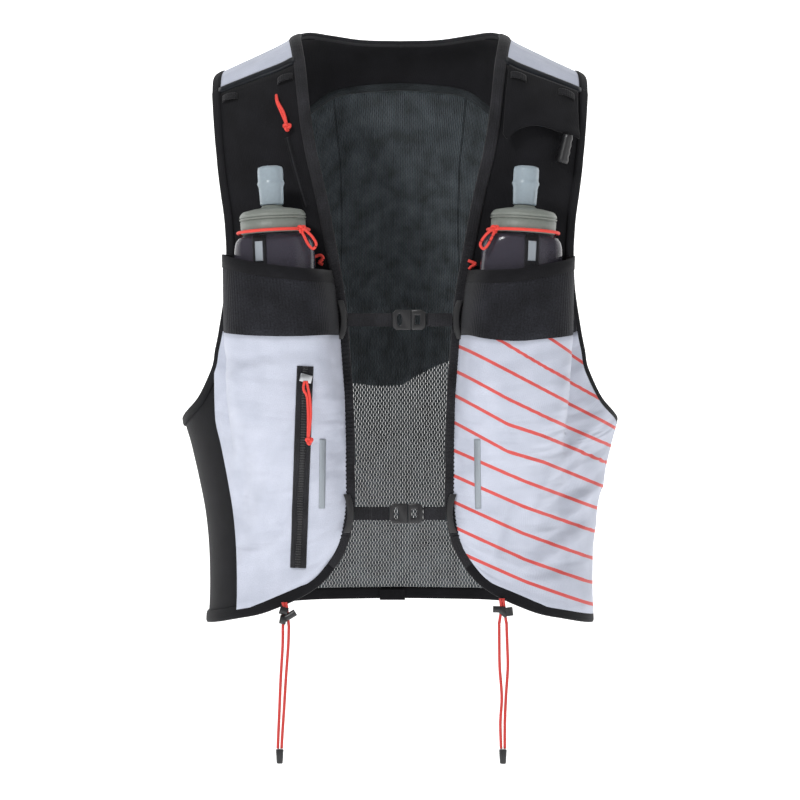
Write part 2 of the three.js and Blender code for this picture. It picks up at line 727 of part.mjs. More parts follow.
function addFront(side, name, seamRow, hemSeam, flaskOut) {
  const turned = (line) => (side < 0 ? mirrored(line) : line);
  const inner = turned(openingInside.slice(OPENING_START_STATION));
  const outer = turned(frontOuter(seamRow, hemSeam));
  const bottom = turned(hemInside.slice(0, hemSeam + 1));
  const rows = inner.length - 1;
  const columns = hemSeam;
  const top = [inner[0], outer[0]];
  const plain = patch(top, bottom, inner, outer, columns, rows);
  add(`front_panel_${name}`, wall(plain, 0, -CLOTH), "stretch");

  const full = patch(top, bottom, inner, outer, 3 * hemSeam, rows);
  fillPocket(full, side, flaskOut);
  const lower = full.slice(POCKET_ROW);
  lower[0] = lower[0].map((at, j) => between(at, lower[1][j], GAP / 20));
  add(`chest_panel_${name}`, wall(lower, pocketOuter, pocketInner), "white");
  pockets[name] = lower;

  const holster = [];
  const finer = 2;
  for (let i = 0; i <= (POCKET_ROW - MOUTH_ROW) * finer; i += 1) {
    const row = MOUTH_ROW + Math.floor(i / finer);
    holster.push(full[row].map((at, j) => between(at, full[row + 1][j], (i % finer) / finer)));
  }
  const end = holster.length - 1;
  holster[end] = holster[end].map((at, j) => between(at, holster[end - 1][j], GAP / 12));
  add(`holster_${name}`, wall(holster, pocketOuter, pocketInner), "stretch");

  // The side panel runs from this seam under the arm to the back.
  const armTop = turned(armInside).slice(ARM_START_STATION + seamRow, BACK_SEAM_STATION + 1);
  const hemEnd = turned(hemInside)[BACK_HEM_SEAM];
  const hemPart = turned(hemInside).slice(hemSeam, BACK_HEM_SEAM + 1);
  const shifted = (sign, at) => ({ turn: at.turn + side * sign * SEAM_GAP, drop: at.drop });
  const front = [between(armTop[0], armTop[1], SEAM_CUT), shifted(1, bottom.at(-1))];
  const rear = [between(armTop.at(-1), armTop.at(-2), SEAM_CUT), shifted(-1, hemEnd)];
  const over = [...armTop];
  over[0] = front[0];
  over[over.length - 1] = rear[0];
  const under = [...hemPart];
  under[0] = front[1];
  under[under.length - 1] = rear[1];
  const panel = patch(over, under, front, rear, over.length - 1, SIDE_ROWS);
  add(`side_panel_${name}`, wall(panel, 0, -CLOTH), "stretch");
}

const mouthInner = OPENING[MOUTH_ROW].out * NECK_HALF + BINDING;
const mouthOuter = ARMHOLE[MOUTH_ROW].out * SHOULDER_HALF - ARM_BINDING;
const mouthMiddle = (mouthInner + mouthOuter) / 2;
addFront(-1, "right", RIGHT_SEAM_ROW, RIGHT_HEM_SEAM, mouthMiddle + FLASK_SHIFT.right);
addFront(1, "left", LEFT_SEAM_ROW, LEFT_HEM_SEAM, mouthMiddle + FLASK_SHIFT.left);

// Bound edges
for (const [name, turned] of [["right", mirrored], ["left", (line) => line]]) {
  const opening = strip(turned(openingLine), turned(openingEdge));
  add(`front_binding_${name}`, wall(opening, BINDING_OUT, -BINDING_IN), "webbing");
  const arm = strip(turned(armLine), turned(asideLine(armLine, ARM_BINDING, true)));
  add(`armhole_binding_${name}`, wall(arm, BINDING_OUT, -BINDING_IN, true), "stretch");
}
const halfHem = strip(hemLine, hemEdge);
const acrossBack = (at) => ({ turn: 360 - at.turn, drop: at.drop });
const otherHem = halfHem.slice(0, -1).reverse().map((pair) => pair.map(acrossBack));
const hem = [...halfHem, ...otherHem];
add("hem_binding", wall(hem, BINDING_OUT, -BINDING_IN), "stretch");

// Shoulder caps and satin bands
function armEdge(over) {
  const share = Math.min(Math.abs(over) / (BAND_TOP / 2), 1);
  return SHOULDER_TOP + (SHOULDER_HALF - SHOULDER_TOP) * share - ARM_BINDING - GAP;
}
function neckEdge(over) {
  const share = Math.max((-over - BAND_TOP / 2) / (BAND_TOP / 2), 0);
  return NECK_HALF * (1 - NECK_TAPER * share) + BINDING + GAP;
}
function shoulderStrip(side, from, to, steps, columns) {
  const grid = [];
  for (let i = 0; i <= steps; i += 1) {
    const over = from + ((to - from) * i) / steps;
    const row = [];
    for (let j = 0; j <= columns; j += 1) {
      const x = neckEdge(over) + ((armEdge(over) - neckEdge(over)) * j) / columns;
      row.push(placeOver(side * x, over || GAP / 10));
    }
    grid.push(row);
  }
  return grid;
}
for (const [side, name] of [[-1, "right"], [1, "left"]]) {
  const cap = shoulderStrip(side, -BAND_TOP + GAP, BINDING, 7, CAP_STATIONS);
  add(`shoulder_cap_${name}`, wall(cap, CLOTH / 2, -CLOTH), "white");
  const band = shoulderStrip(side, -BAND_TOP - BAND_WIDTH, -BAND_TOP, 1, CAP_STATIONS);
  add(`shoulder_band_${name}`, wall(band, BINDING_OUT, -BINDING_IN), "satin");
}

// Back: piping arch, yoke above it, net below it and the layer behind the net
const bothSides = (line) => [...line.slice(1).reverse().map(acrossBack), ...line];
const yokeEdge = asideLine(openingLine, -(BINDING + 2 * GAP)).slice(0, COLLAR_STATIONS.length - 1);
const capEdge = [];
for (let j = 0; j <= CAP_STATIONS; j += 1) {
  const inside = neckEdge(0) + GAP * 2;
  const x = inside + ((armEdge(BINDING) - GAP - inside) * j) / CAP_STATIONS;
  capEdge.push(placeOver(x, BINDING + 3 * GAP));
}
const yokeTop = bothSides([...yokeEdge, ...capEdge]);
const archHalf = [];
const archSteps = yokeEdge.length + capEdge.length - 1;
for (let j = 0; j <= archSteps; j += 1) {
  const out = (ARCH.at(-1).out * j) / archSteps;
  const down = column(ARCH, "out", "down", out);
  archHalf.push(placeAt(out * SHOULDER_HALF, -down * BODY_LENGTH, true));
}
const archLine = bothSides(archHalf);
const arch = strip(asideLine(archLine, PIPING / 2), asideLine(archLine, -PIPING / 2));
add("back_piping", wall(arch, PIPING_OUT, -PIPING_PAD), "net");

// The back edge of the armhole from the shoulder down, cut at a given drop.
const armRear = [
  placeOver(armEdge(BINDING) - GAP, BINDING + 3 * GAP),
  ...armInside.slice(BACK_SEAM_STATION).reverse().filter((at) => at.drop > BINDING + BAND_WIDTH),
];
function rearPart(from, to) {
  const cut = (drop) => {
    const i = armRear.findIndex((at) => at.drop > drop);
    const share = (drop - armRear[i - 1].drop) / (armRear[i].drop - armRear[i - 1].drop);
    return between(armRear[i - 1], armRear[i], share);
  };
  const start = from > armRear[0].drop ? [cut(from)] : [];
  const end = to < armRear.at(-1).drop ? [cut(to)] : [];
  const middle = armRear.filter((at) => at.drop > from + 3 && at.drop < to - 3);
  return [...start, ...(start.length ? middle : [armRear[0], ...middle.slice(0)]), ...end];
}
const archFoot = archLine.at(-1).drop;
const yokeSide = rearPart(0, archFoot - PIPING / 2 - ARCH_END);
const yokeBottom = asideLine(archLine, PIPING / 2 + GAP);
yokeBottom[0] = acrossBack(yokeSide.at(-1));
yokeBottom[yokeBottom.length - 1] = yokeSide.at(-1);
const yokeRight = yokeSide.map(acrossBack);
const yoke = patch(yokeTop, yokeBottom, yokeRight, yokeSide, yokeTop.length - 1, yokeSide.length - 1);
add("back_yoke", wall(yoke, 0, -CLOTH), "stretch");

const netSeam = [];
const seamTop = between(armInside[BACK_SEAM_STATION], armInside[BACK_SEAM_STATION + 1], SEAM_CUT);
const seamEnd = hemInside[BACK_HEM_SEAM];
const seamFoot = { turn: seamEnd.turn + SEAM_GAP, drop: seamEnd.drop };
for (let i = 1; i <= SIDE_ROWS; i += 1) netSeam.push(between(seamTop, seamFoot, i / SIDE_ROWS));
const netArm = rearPart(archFoot + PIPING / 2 + ARCH_END, armRear.at(-1).drop + BINDING);
const netSide = [...netArm.slice(0, -1), seamTop, ...netSeam];
const netTop = asideLine(archLine, -PIPING / 2 - GAP);
netTop[0] = acrossBack(netSide[0]);
netTop[netTop.length - 1] = netSide[0];
const netHem = hemInside.slice(BACK_HEM_SEAM);
netHem[0] = seamFoot;
const netBottom = bothSides([...netHem].reverse());
const net = patch(netTop, netBottom, netSide.map(acrossBack), netSide, netTop.length - 1, netSide.length - 1);
add("back_net", wall(net, 0, -MESH), "net");

// The layer behind the net, from under the arch to its curved lower edge
const pocketTop = asideLine(archLine, -PIPING / 2 - GAP).slice(2, -2);
const pocketBottom = pocketTop.map((at) => {
  const out = skinPoint(at.turn, at.drop).x / SHOULDER_HALF;
  const down = column(BACK_POCKET_EDGE, "out", "down", out);
  return placeAt(out * SHOULDER_HALF, -down * BODY_LENGTH, true);
});
const LAYER_ROWS = 8;
const plainSide = (n) => {
  const at = (_, i) => between(pocketTop.at(n), pocketBottom.at(n), i / LAYER_ROWS);
  return Array.from({ length: LAYER_ROWS + 1 }, at);
};
const layerColumns = pocketTop.length - 1;
const backPocket = patch(pocketTop, pocketBottom, plainSide(0), plainSide(-1), layerColumns, LAYER_ROWS);
add("back_pocket", wall(backPocket, BACK_POCKET_AIR + CLOTH, BACK_POCKET_AIR), "stretch");

// Soft flasks, each standing along the chest with its cap just clear of the cloth
function addFlask(side, name, flaskOut) {
  const footZ = -(FLASK_TOP + FLASK_LENGTH);
  const out = pocketFacing(side);
  const standing = (x, z, distance) => {
    const place = placeAt(side * x, z);
    return skinPoint(place.turn, place.drop).addScaledVector(out, distance);
  };
  const low = standing(flaskLine(flaskOut, footZ), footZ, FLASK_DEEP + FLASK_SEAT);
  const high = standing(flaskOut, -FLASK_TOP, CAP_RADIUS + FLASK_CORD + HEAD_SEAT);
  const up = high.clone().sub(low).normalize();
  const back = out.clone().addScaledVector(up, -out.dot(up)).normalize().negate();
  const across = back.clone().cross(up).normalize();
  const flask = new THREE.Group();
  flask.quaternion.setFromRotationMatrix(new THREE.Matrix4().makeBasis(across, back, up));
  flask.position.copy(high);
  vest.add(flask);

  const rings = FLASK_BODY.map((row) => {
    const ring = [];
    for (let i = 0; i < FLASK_SIDES; i += 1) {
      const angle = (i / FLASK_SIDES) * 2 * Math.PI;
      const c = Math.cos(angle);
      const s = Math.sin(angle);
      ring.push(
        new THREE.Vector3(
          row.wide * FLASK_HALF * Math.sign(c) * Math.abs(c) ** 0.9,
          row.deep * FLASK_DEEP * Math.sign(s) * Math.abs(s) ** 0.9,
          (row.up - 1) * FLASK_LENGTH,
        ),
      );
    }
    return ring;
  });
  add(`flask_${name}`, loft(rings), "flask", flask);

  const turned = (rows, radius, height, base) => {
    const points = rows.map(([r, h]) => new THREE.Vector2(r * radius, h * height));
    const shape = new THREE.LatheGeometry(points, FLASK_SIDES);
    shape.rotateX(Math.PI / 2);
    shape.translate(0, 0, base);
    return shape;
  };
  const cap = turned(CAP_PROFILE, CAP_RADIUS, CAP_HEIGHT, GAP);
  add(`flask_cap_${name}`, cap, "cap", flask);
  const valve = turned(VALVE_PROFILE, VALVE_RADIUS, VALVE_HEIGHT, 2 * GAP + CAP_HEIGHT);
  add(`bite_valve_${name}`, valve, "valve", flask);
  const ring = CAP_RADIUS + GAP + FLASK_CORD / 2;
  const cord = new THREE.TorusGeometry(ring, FLASK_CORD / 2, 8, FLASK_SIDES);
  cord.translate(0, 0, FLASK_CORD * 0.7);
  add(`flask_cord_${name}`, cord, "red", flask);
}
addFlask(-1, "right", mouthMiddle + FLASK_SHIFT.right);
addFlask(1, "left", mouthMiddle + FLASK_SHIFT.left);

// Sternum straps: a hook on each front edge, webbing, elastic and a side buckle
const extruded = (shape, depth) => {
  const body = new THREE.ExtrudeGeometry(shape, { depth, bevelEnabled: false, curveSegments: 6 });
  return body.rotateX(Math.PI / 2);
};
function outline(points) {
  return new THREE.Shape(points.map(([x, y]) => new THREE.Vector2(x, y)));
}
function bar(name, finish, from, to, height, thick, y, level) {
  const body = new THREE.BoxGeometry(to - from, thick, height);
  const mesh = add(name, body, finish);
  mesh.position.set((from + to) / 2, y, -level);
}

function addStrap(name, level, edgeX, start) {
  const edge = skinPoint(placeAt(edgeX, -level).turn, placeAt(edgeX, -level).drop);
  const face = edge.y - BINDING_OUT - STRAP_AIR;
  const middle = face - BUCKLE_THICK / 2;
  const left = edgeX + HOOK_IN;
  for (const [side, label] of [[-1, "right"], [1, "left"]]) {
    const arc = [];
    for (let i = 0; i <= HOOK_STEPS; i += 1) {
      const up = (i / HOOK_STEPS - 0.5) * HOOK_HEIGHT;
      const bow = HOOK_BOW * (1 - (2 * up / HOOK_HEIGHT) ** 2);
      arc.push([side * (left + HOOK_WIDTH + HOOK_BOW - bow), up]);
    }
    const inside = arc.map(([x, up]) => [x - side * HOOK_WIDTH, up]).reverse();
    const hook = add(`hook_${name}_${label}`, extruded(outline([...arc, ...inside]), HOOK_THICK), "plastic");
    hook.position.set(0, face, -level);
  }
  const web = face - HOOK_THICK / 2 - WEBBING / 2;
  const webMiddle = face - HOOK_THICK / 2;
  const buckleEnd = start + BUCKLE_LENGTH;
  const halfway = start + BUCKLE_LENGTH * BUCKLE_SPLIT;
  const inner = left - GAP;
  const profile = outline([
    [-inner, web], [start - ELASTIC_LENGTH, web], [start - ELASTIC_LENGTH + 2, webMiddle - ELASTIC],
    [start - GAP, webMiddle - ELASTIC], [start - GAP, webMiddle], [-inner, webMiddle],
  ]);
  const long = new THREE.ExtrudeGeometry(profile, { depth: WEBBING_HEIGHT, bevelEnabled: false });
  add(`webbing_${name}_right`, long, "webbing").position.z = -level - WEBBING_HEIGHT / 2;
  const webY = webMiddle - WEBBING / 2;
  bar(`webbing_${name}_left`, "webbing", buckleEnd + GAP, inner, WEBBING_HEIGHT, WEBBING, webY, level);
  const half = BUCKLE_HEIGHT / 2;
  const chamfer = BUCKLE_HEIGHT / 6;
  const female = outline([
    [start, chamfer - half], [start + chamfer, -half], [halfway, -half],
    [halfway, half], [start + chamfer, half], [start, half - chamfer],
  ]);
  const eye = new THREE.Path().absellipse(start + 5.2, 0, 2, half * 0.62, 0, 2 * Math.PI, true);
  female.holes.push(eye);
  const male = outline([
    [halfway + GAP, -half], [buckleEnd - chamfer, -half], [buckleEnd, chamfer - half],
    [buckleEnd, half - chamfer], [buckleEnd - chamfer, half], [halfway + GAP, half],
  ]);
  const window = outline([
    [halfway + 3, -half * 0.45], [buckleEnd - 4.5, -half * 0.45],
    [buckleEnd - 4.5, half * 0.45], [halfway + 3, half * 0.45],
  ]);
  male.holes.push(window);
  for (const [label, shape] of [["female", female], ["male", male]]) {
    const body = add(`buckle_${name}_${label}`, extruded(shape, BUCKLE_THICK), "plastic");
    body.position.set(0, middle + BUCKLE_THICK / 2 - 0.2, -level);
  }
}
addStrap("upper", STRAP_LEVELS[0], STRAP_EDGES[0], BUCKLE_STARTS[0]);
addStrap("lower", STRAP_LEVELS[1], STRAP_EDGES[1], BUCKLE_STARTS[1]);

// Drawcords at the hem: a lock under the hem, two strands and a moulded tip
function tube(points, diameter, steps) {
  const sides = 8;
  const ring = Array.from({ length: sides }, (_, i) => {
    const angle = (i / sides) * 2 * Math.PI;
    return [(Math.cos(angle) * diameter) / 2, (Math.sin(angle) * diameter) / 2];
  });
  const path = new THREE.CatmullRomCurve3(points.map(([x, y, z]) => new THREE.Vector3(x, y, z)));
  return new THREE.ExtrudeGeometry(outline(ring), { steps, extrudePath: path, bevelEnabled: false });
}
const DRAWCORDS = {
  right: {
    lock: [-85, -92.4, -417],
    strands: [
      [
        [-88, -92, -424.5], [-88.2, -93.2, -440], [-89.5, -93.4, -462],
        [-90.6, -93.4, -488], [-91.4, -93.3, -506], [-91.8, -93.2, -517],
      ],
      [
        [-83.5, -92, -424.5], [-84, -92.8, -440], [-85.6, -92.6, -462],
        [-87.2, -92.7, -488], [-88.4, -92.8, -506], [-89, -93.2, -517],
      ],
    ],
    tip: [-90.4, -93.2, -517.3],
  },
  left: {
    lock: [76.5, -94.4, -414.5],
    strands: [
      [
        [74.5, -94, -422], [74.6, -95.2, -440], [74.9, -95.4, -456],
        [76.4, -96.4, -478], [75.4, -95.4, -497], [75.9, -95, -517],
      ],
      [
        [80, -94, -422], [80.6, -94.8, -440], [81, -94.4, -456],
        [79.6, -93.6, -478], [78.8, -94.4, -497], [78.7, -95, -517],
      ],
    ],
    tip: [77.3, -95, -517.3],
  },
};
for (const [name, cord] of Object.entries(DRAWCORDS)) {
  const lock = new THREE.BoxGeometry(LOCK_WIDTH, LOCK_DEEP, LOCK_HEIGHT);
  add(`cord_lock_${name}`, lock, "plastic").position.set(...cord.lock);
  cord.strands.forEach((points, i) => {
    add(`drawcord_${name}_${"ab"[i]}`, tube(points, DRAWCORD, 16), "red");
  });
  const tip = new THREE.CylinderGeometry(TIP_RADIUS, TIP_RADIUS * 0.8, TIP_LENGTH, 8);
  tip.rotateX(Math.PI / 2).translate(0, 0, -TIP_LENGTH / 2);
  add(`cord_tip_${name}`, tip, "plastic").position.set(...cord.tip);
}

// Trim on the white pockets: zip tape, slider and reflective strips
function pocketStrip(grid, top, bottom, width, steps) {
  const rows = [];
  for (let i = 0; i <= steps; i += 1) {
    const x = top[0] + ((bottom[0] - top[0]) * i) / steps;
    const z = top[1] + ((bottom[1] - top[1]) * i) / steps;
    rows.push([-0.5, -0.17, 0.17, 0.5].map((side) => pocketPlace(grid, x + side * width, z)));
  }
  return rows;
}
const pocketLevel = OPENING[POCKET_ROW].down * BODY_LENGTH;
const zipLevel = pocketLevel + ZIP_DROP;
const zipFoot = FRONT_HEM[1].down * BODY_LENGTH - BINDING - ZIP_ROOM;
const zipTop = [-ZIP_OUT, -zipLevel];
const zipBottom = [-ZIP_OUT - ZIP_SLANT, -zipFoot];
const zip = pocketStrip(pockets.right, zipTop, zipBottom, ZIP_WIDTH, 16);
add("zip_tape", wall(zip, TRIM_AIR + ZIP_THICK, TRIM_AIR), "webbing");
for (const [name, side] of [["right", -1], ["left", 1]]) {
  const high = [side * STRIP_OUT, -pocketLevel - STRIP_DROP];
  const low = [high[0], high[1] - STRIP_LENGTH];
  const reflective = pocketStrip(pockets[name], high, low, STRIP_WIDTH, 5);
  add(`reflective_strip_${name}`, wall(reflective, TRIM_AIR + STRIP_THICK, TRIM_AIR), "satin");
}
const sliderSeat = pocketPlace(pockets.right, zipTop[0], zipTop[1] - SLIDER_LENGTH);
const slider = add("zip_slider", new THREE.BoxGeometry(ZIP_WIDTH / 2, SLIDER_THICK, SLIDER_LENGTH), "metal");
slider.position.copy(sliderSeat.point).addScaledVector(sliderSeat.out, TRIM_AIR + ZIP_THICK + SLIDER_SEAT);
slider.lookAt(slider.position.clone().addScaledVector(sliderSeat.out, -1));
slider.rotateX(Math.PI / 2);

// Shoulder flap, standing off the chest at its lower edge, and the whistle under it
const flapColumns = FLAP_EDGE.length - 1;
const flapRows = 4;
const flap = [];
for (let i = 0; i <= flapRows; i += 1) {
  const v = i / flapRows;
  flap.push(FLAP_EDGE.map((row, j) => {
    const width = armEdge(-BAND_TOP) - neckEdge(-BAND_TOP);
    const from = neckEdge(-BAND_TOP) + (width * j) / flapColumns;
    const high = placeOver(from, -bandBottom);
    const low = placeAt(row.out * SHOULDER_HALF, -row.down * BODY_LENGTH);
    const at = between(high, low, v);
    at.lift = POCKET_AIR + FLAP_LIFT * v ** 1.5;
    return at;
  }));
}
add("shoulder_flap", wall(flap, (at) => at.lift + FLAP_CLOTH, (at) => at.lift), "stretch");
const whistleProfile = [];
for (let i = 0; i <= WHISTLE_RIBS * 2; i += 1) {
  const radius = WHISTLE_RADIUS * (i % 2 ? 1 : 0.88) * (0.8 + (0.2 * i) / (WHISTLE_RIBS * 2));
  whistleProfile.push(new THREE.Vector2(radius, (-i / (WHISTLE_RIBS * 2)) * WHISTLE_LENGTH));
}
whistleProfile.unshift(new THREE.Vector2(0, 0));
whistleProfile.push(new THREE.Vector2(0, -WHISTLE_LENGTH));
const whistleBody = new THREE.LatheGeometry(whistleProfile.reverse(), 12).rotateX(Math.PI / 2);
const whistle = add("whistle", whistleBody, "plastic");
const hang = placeAt(WHISTLE_OUT, -FLAP_EDGE.at(-2).down * BODY_LENGTH);
whistle.position.copy(skin(hang, POCKET_AIR + FLAP_LIFT + WHISTLE_RADIUS / 2));
whistle.position.z -= GAP * 3;
whistle.rotation.y = WHISTLE_LEAN * DEGREE;

// Small tab at the middle of the hem, inside
const tabGrid = [-TAB_TOP, -TAB_TOP - TAB_HEIGHT].map((z) =>
  [-0.5, -0.17, 0.17, 0.5].map((share) => placeAt(TAB_MIDDLE + share * TAB_WIDTH, z, true)),
);
add("hem_tab", wall(tabGrid, -BINDING_IN - TRIM_AIR, -BINDING_IN - TRIM_AIR - CLOTH), "stretch");

export default vest;
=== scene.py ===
# %% [markdown]
# # A running hydration vest
# The vest is shown worn, on nobody: cloth panels, a see-through back, two soft flasks in
# chest holsters, sternum straps and red drawcords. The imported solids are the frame, and
# every surface here is worked out in millimetres round the same worn body.

# %%
import bmesh
import bpy
import numpy as np
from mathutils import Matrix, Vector


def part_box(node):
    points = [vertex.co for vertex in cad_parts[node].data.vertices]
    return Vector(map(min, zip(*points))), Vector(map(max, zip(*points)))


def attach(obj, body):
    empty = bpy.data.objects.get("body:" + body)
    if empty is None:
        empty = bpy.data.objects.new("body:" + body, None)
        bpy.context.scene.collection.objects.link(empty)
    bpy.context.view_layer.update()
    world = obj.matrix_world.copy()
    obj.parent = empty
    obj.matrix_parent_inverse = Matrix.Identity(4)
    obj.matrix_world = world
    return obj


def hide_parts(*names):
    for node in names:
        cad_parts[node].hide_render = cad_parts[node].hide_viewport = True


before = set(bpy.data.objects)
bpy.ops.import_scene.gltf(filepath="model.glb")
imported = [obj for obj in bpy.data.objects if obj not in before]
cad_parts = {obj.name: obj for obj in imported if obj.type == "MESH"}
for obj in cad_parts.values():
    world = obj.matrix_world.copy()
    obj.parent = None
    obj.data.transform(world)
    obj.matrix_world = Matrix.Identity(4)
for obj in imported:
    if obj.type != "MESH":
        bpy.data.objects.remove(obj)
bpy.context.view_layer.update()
MM = 0.001
print("frame nodes", len(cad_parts))

# %% [markdown]
# ## Camera, light and floor
# The camera stands in front at mid height, far off with a long lens, so that the front
# edges of the vest keep nearly the same scale. The backdrop is a white sweep.

# %%
CAMERA_AWAY = 3.6
CAMERA_LENS = 210
CAMERA_HEIGHT = -0.255
SENSOR_WIDTH = 36
CLIP_END = 30
FLOOR_HEIGHT = -0.95
SWEEP_BACK = 6.0
SWEEP_ROUND = 0.7
STAGE_HALF = 60.0
STAGE_FRONT = -60.0
STAGE_TOP = 6.0
MIDDLE = Vector((0, 0, -0.2))
WORLD_LIGHT = 0.24
# name, place, size and power of the square soft lights
LIGHTS = (
    ("key_light", (-1.3, -2.2, 1.5), 0.5, 46),
    ("fill_light", (1.8, -1.9, 0.3), 1.8, 8),
    ("top_light", (0, 0.5, 1.9), 1.4, 9),
    ("left_edge_light", (-1.6, 1.0, 0.2), 1.0, 2),
    ("right_edge_light", (1.6, 1.0, 0.2), 1.0, 2),
)


def add_object(name, data):
    thing = bpy.data.objects.new(name, data)
    bpy.context.scene.collection.objects.link(thing)
    return thing


camera = add_object("camera", bpy.data.cameras.new("camera"))
camera.data.lens = CAMERA_LENS
camera.data.sensor_width = SENSOR_WIDTH
camera.data.clip_end = CLIP_END
camera.location = (0, -CAMERA_AWAY, CAMERA_HEIGHT)
camera.rotation_euler = (np.pi / 2, 0, 0)
bpy.context.scene.camera = camera
for name, place, size, power in LIGHTS:
    light = add_object(name, bpy.data.lights.new(name, "AREA"))
    light.data.size = size
    light.data.energy = power
    light.location = place
    light.rotation_euler = (MIDDLE - Vector(place)).to_track_quat("-Z", "Y").to_euler()
world = bpy.data.worlds.new("studio")
world.use_nodes = True
sky = world.node_tree.nodes["Background"].inputs
sky["Color"].default_value = (1, 1, 1, 1)
sky["Strength"].default_value = WORLD_LIGHT
bpy.context.scene.world = world
bpy.context.scene.view_settings.view_transform = "Standard"
print("camera", CAMERA_AWAY, "m away")

# %% [markdown]
# ## Materials
# One small function adds a node, and one turns a hex colour into linear light. The cloth
# patterns read the piece's own UV map, which is laid out in millimetres.

# %%
CLOTH_GLANCE = 0.18  # cloth hardly mirrors
CLOUD = 30  # threads across one cloud of the mottling
CLOTH_TONES = 0.12, 0.42  # where the dark and the light colour of a cloth begin
HARD_SHADES = 0.88, 1.1
WAVE = 0.157  # scale of the wave texture for a thread of 1 mm
FOLD_SLANT = 0.5
FOLD_STRETCH = 4
FOLD_LENGTH = 70  # mm


def linear(code, alpha=1.0):
    """The linear colour of an sRGB hex code."""
    share = np.array([int(code[i : i + 2], 16) for i in (1, 3, 5)]) / 255
    value = np.where(share <= 0.04045, share / 12.92, ((share + 0.055) / 1.055) ** 2.4)
    return (*value.tolist(), alpha)


def set_inputs(node, values):
    for key, value in values.items():
        node.inputs[key.replace("_", " ")].default_value = value


def add_node(tree, kind, links=(), **values):
    """Adds a node, sets its sockets by name, and links (socket, output) pairs into it."""
    node = tree.nodes.new(kind)
    set_inputs(node, values)
    for socket, output in links:
        tree.links.new(output, node.inputs[socket])
    return node


def start_material(name, slot, **values):
    """A new material with its Principled node. The slot of the pieces made of it is not used."""
    material = bpy.data.materials.new(name)
    material.use_nodes = True
    shader = material.node_tree.nodes["Principled BSDF"]
    set_inputs(shader, values)
    return material, material.node_tree, shader


def grain(tree, source, size, detail=3.0):
    """Noise whose lumps are about size across, in the units of its source."""
    links = [("Vector", source)]
    return add_node(tree, "ShaderNodeTexNoise", links, Scale=1 / size, Detail=detail).outputs["Fac"]


def calculate(tree, operation, *sources):
    """The output of a math node over one or two outputs."""
    node = add_node(tree, "ShaderNodeMath", enumerate(sources))
    node.operation = operation
    return node.outputs["Value"]


def add_tones(tree, shader, share, *stops):
    """Colours the shader by a share, between two stops of position and colour."""
    ramp = add_node(tree, "ShaderNodeValToRGB", [("Fac", share)])
    for element, (position, colour) in zip(ramp.color_ramp.elements, stops):
        element.position, element.color = position, colour
    tree.links.new(ramp.outputs["Color"], shader.inputs["Base Color"])


def add_relief(tree, target, height, distance, strength):
    """Feeds a relief of so many millimetres into the normal of a node."""
    bump = add_node(
        tree, "ShaderNodeBump", [("Height", height)], Distance=distance * MM, Strength=strength
    )
    tree.links.new(bump.outputs["Normal"], target.inputs["Normal"])
    return bump


def cloth_material(name, slot, dark, light, thread, relief, sheen, roughness=0.85, fold=0.0):
    """Knitted or woven cloth: two colours mottled at thread size, and a fine relief, with
    soft long folds of the given height where the cloth hangs slack."""
    material, tree, shader = start_material(
        name, slot, Roughness=roughness, Sheen_Weight=sheen, Specular_IOR_Level=CLOTH_GLANCE
    )
    flat = add_node(tree, "ShaderNodeUVMap").outputs["UV"]
    uv = [("Vector", flat)]
    fibre, cloud = grain(tree, flat, thread), grain(tree, flat, CLOUD * thread)
    mottle = calculate(tree, "MULTIPLY", fibre, cloud)
    add_tones(tree, shader, mottle, *zip(CLOTH_TONES, (linear(dark), linear(light))))
    rows = add_node(tree, "ShaderNodeTexWave", uv, Scale=WAVE / thread, Distortion=0.6)
    height = calculate(tree, "ADD", rows.outputs["Fac"], fibre)
    bump = add_relief(tree, shader, height, relief, 0.6)
    if fold:
        slanted = add_node(
            tree, "ShaderNodeMapping", uv, Rotation=(0, 0, FOLD_SLANT), Scale=(1, FOLD_STRETCH, 1)
        )
        slack = grain(tree, slanted.outputs["Vector"], FOLD_LENGTH, 1.5)
        add_relief(tree, bump, slack, fold, 1.0)
    return material


def hard_material(name, slot, colour, roughness, lump=2.0, relief=0.03, **values):
    """A moulded or rolled surface with a faint unevenness."""
    material, tree, shader = start_material(name, slot, Roughness=roughness, **values)
    place = add_node(tree, "ShaderNodeTexCoord").outputs["Object"]
    noise = grain(tree, place, lump * MM)
    full = np.array(linear(colour)[:3])
    add_tones(tree, shader, noise, *((i, (*(full * HARD_SHADES[i]), 1)) for i in (0, 1)))
    add_relief(tree, shader, noise, relief, 0.5)
    return material


# slot, dark and light colour, thread, relief, sheen, roughness, slack folds
CLOTHS = {
    # dull jersey with a soft sheen at grazing angles
    "polyamide_elastane_jersey": ("stretch_cloth", "#0b0b0e", "#17171b", 0.7, 0.12, 0.05),
    "ribbed_elastic_webbing": ("webbing", "#121214", "#2e2e32", 0.9, 0.25, 0.08),
    "perforated_polyester": ("stretch_cloth", "#0c0c0f", "#2a2b31", 1.3, 0.35, 0.06),
    # nearly white, with a cold shade
    "white_ripstop_polyester": ("white_cloth", "#b0b5c3", "#c4c8d6", 0.8, 0.08, 0.06, 0.6, 6.0),
    # tape that catches light along its length
    "satin_tape": ("satin_band", "#07080d", "#1b2027", 0.5, 0.03, 0.06, 0.4),
    "padded_net_piping": ("net", "#15181a", "#33383b", 0.9, 0.3, 0.1),
    "warp_knit_net": ("net", "#2a3033", "#596268", 0.5, 0.05, 0.1),
}
JERSEY, WEBBING, HOLSTER, RIPSTOP, SATIN, PADDED_NET, NET = (
    cloth_material(name, *look) for name, look in CLOTHS.items()
)
MOULDED = hard_material("moulded_acetal", "moulded_plastic", "#1c1c1e", 0.36)
CAP_PLASTIC = hard_material("grey_polypropylene", "flask_cap", "#767b75", 0.48)
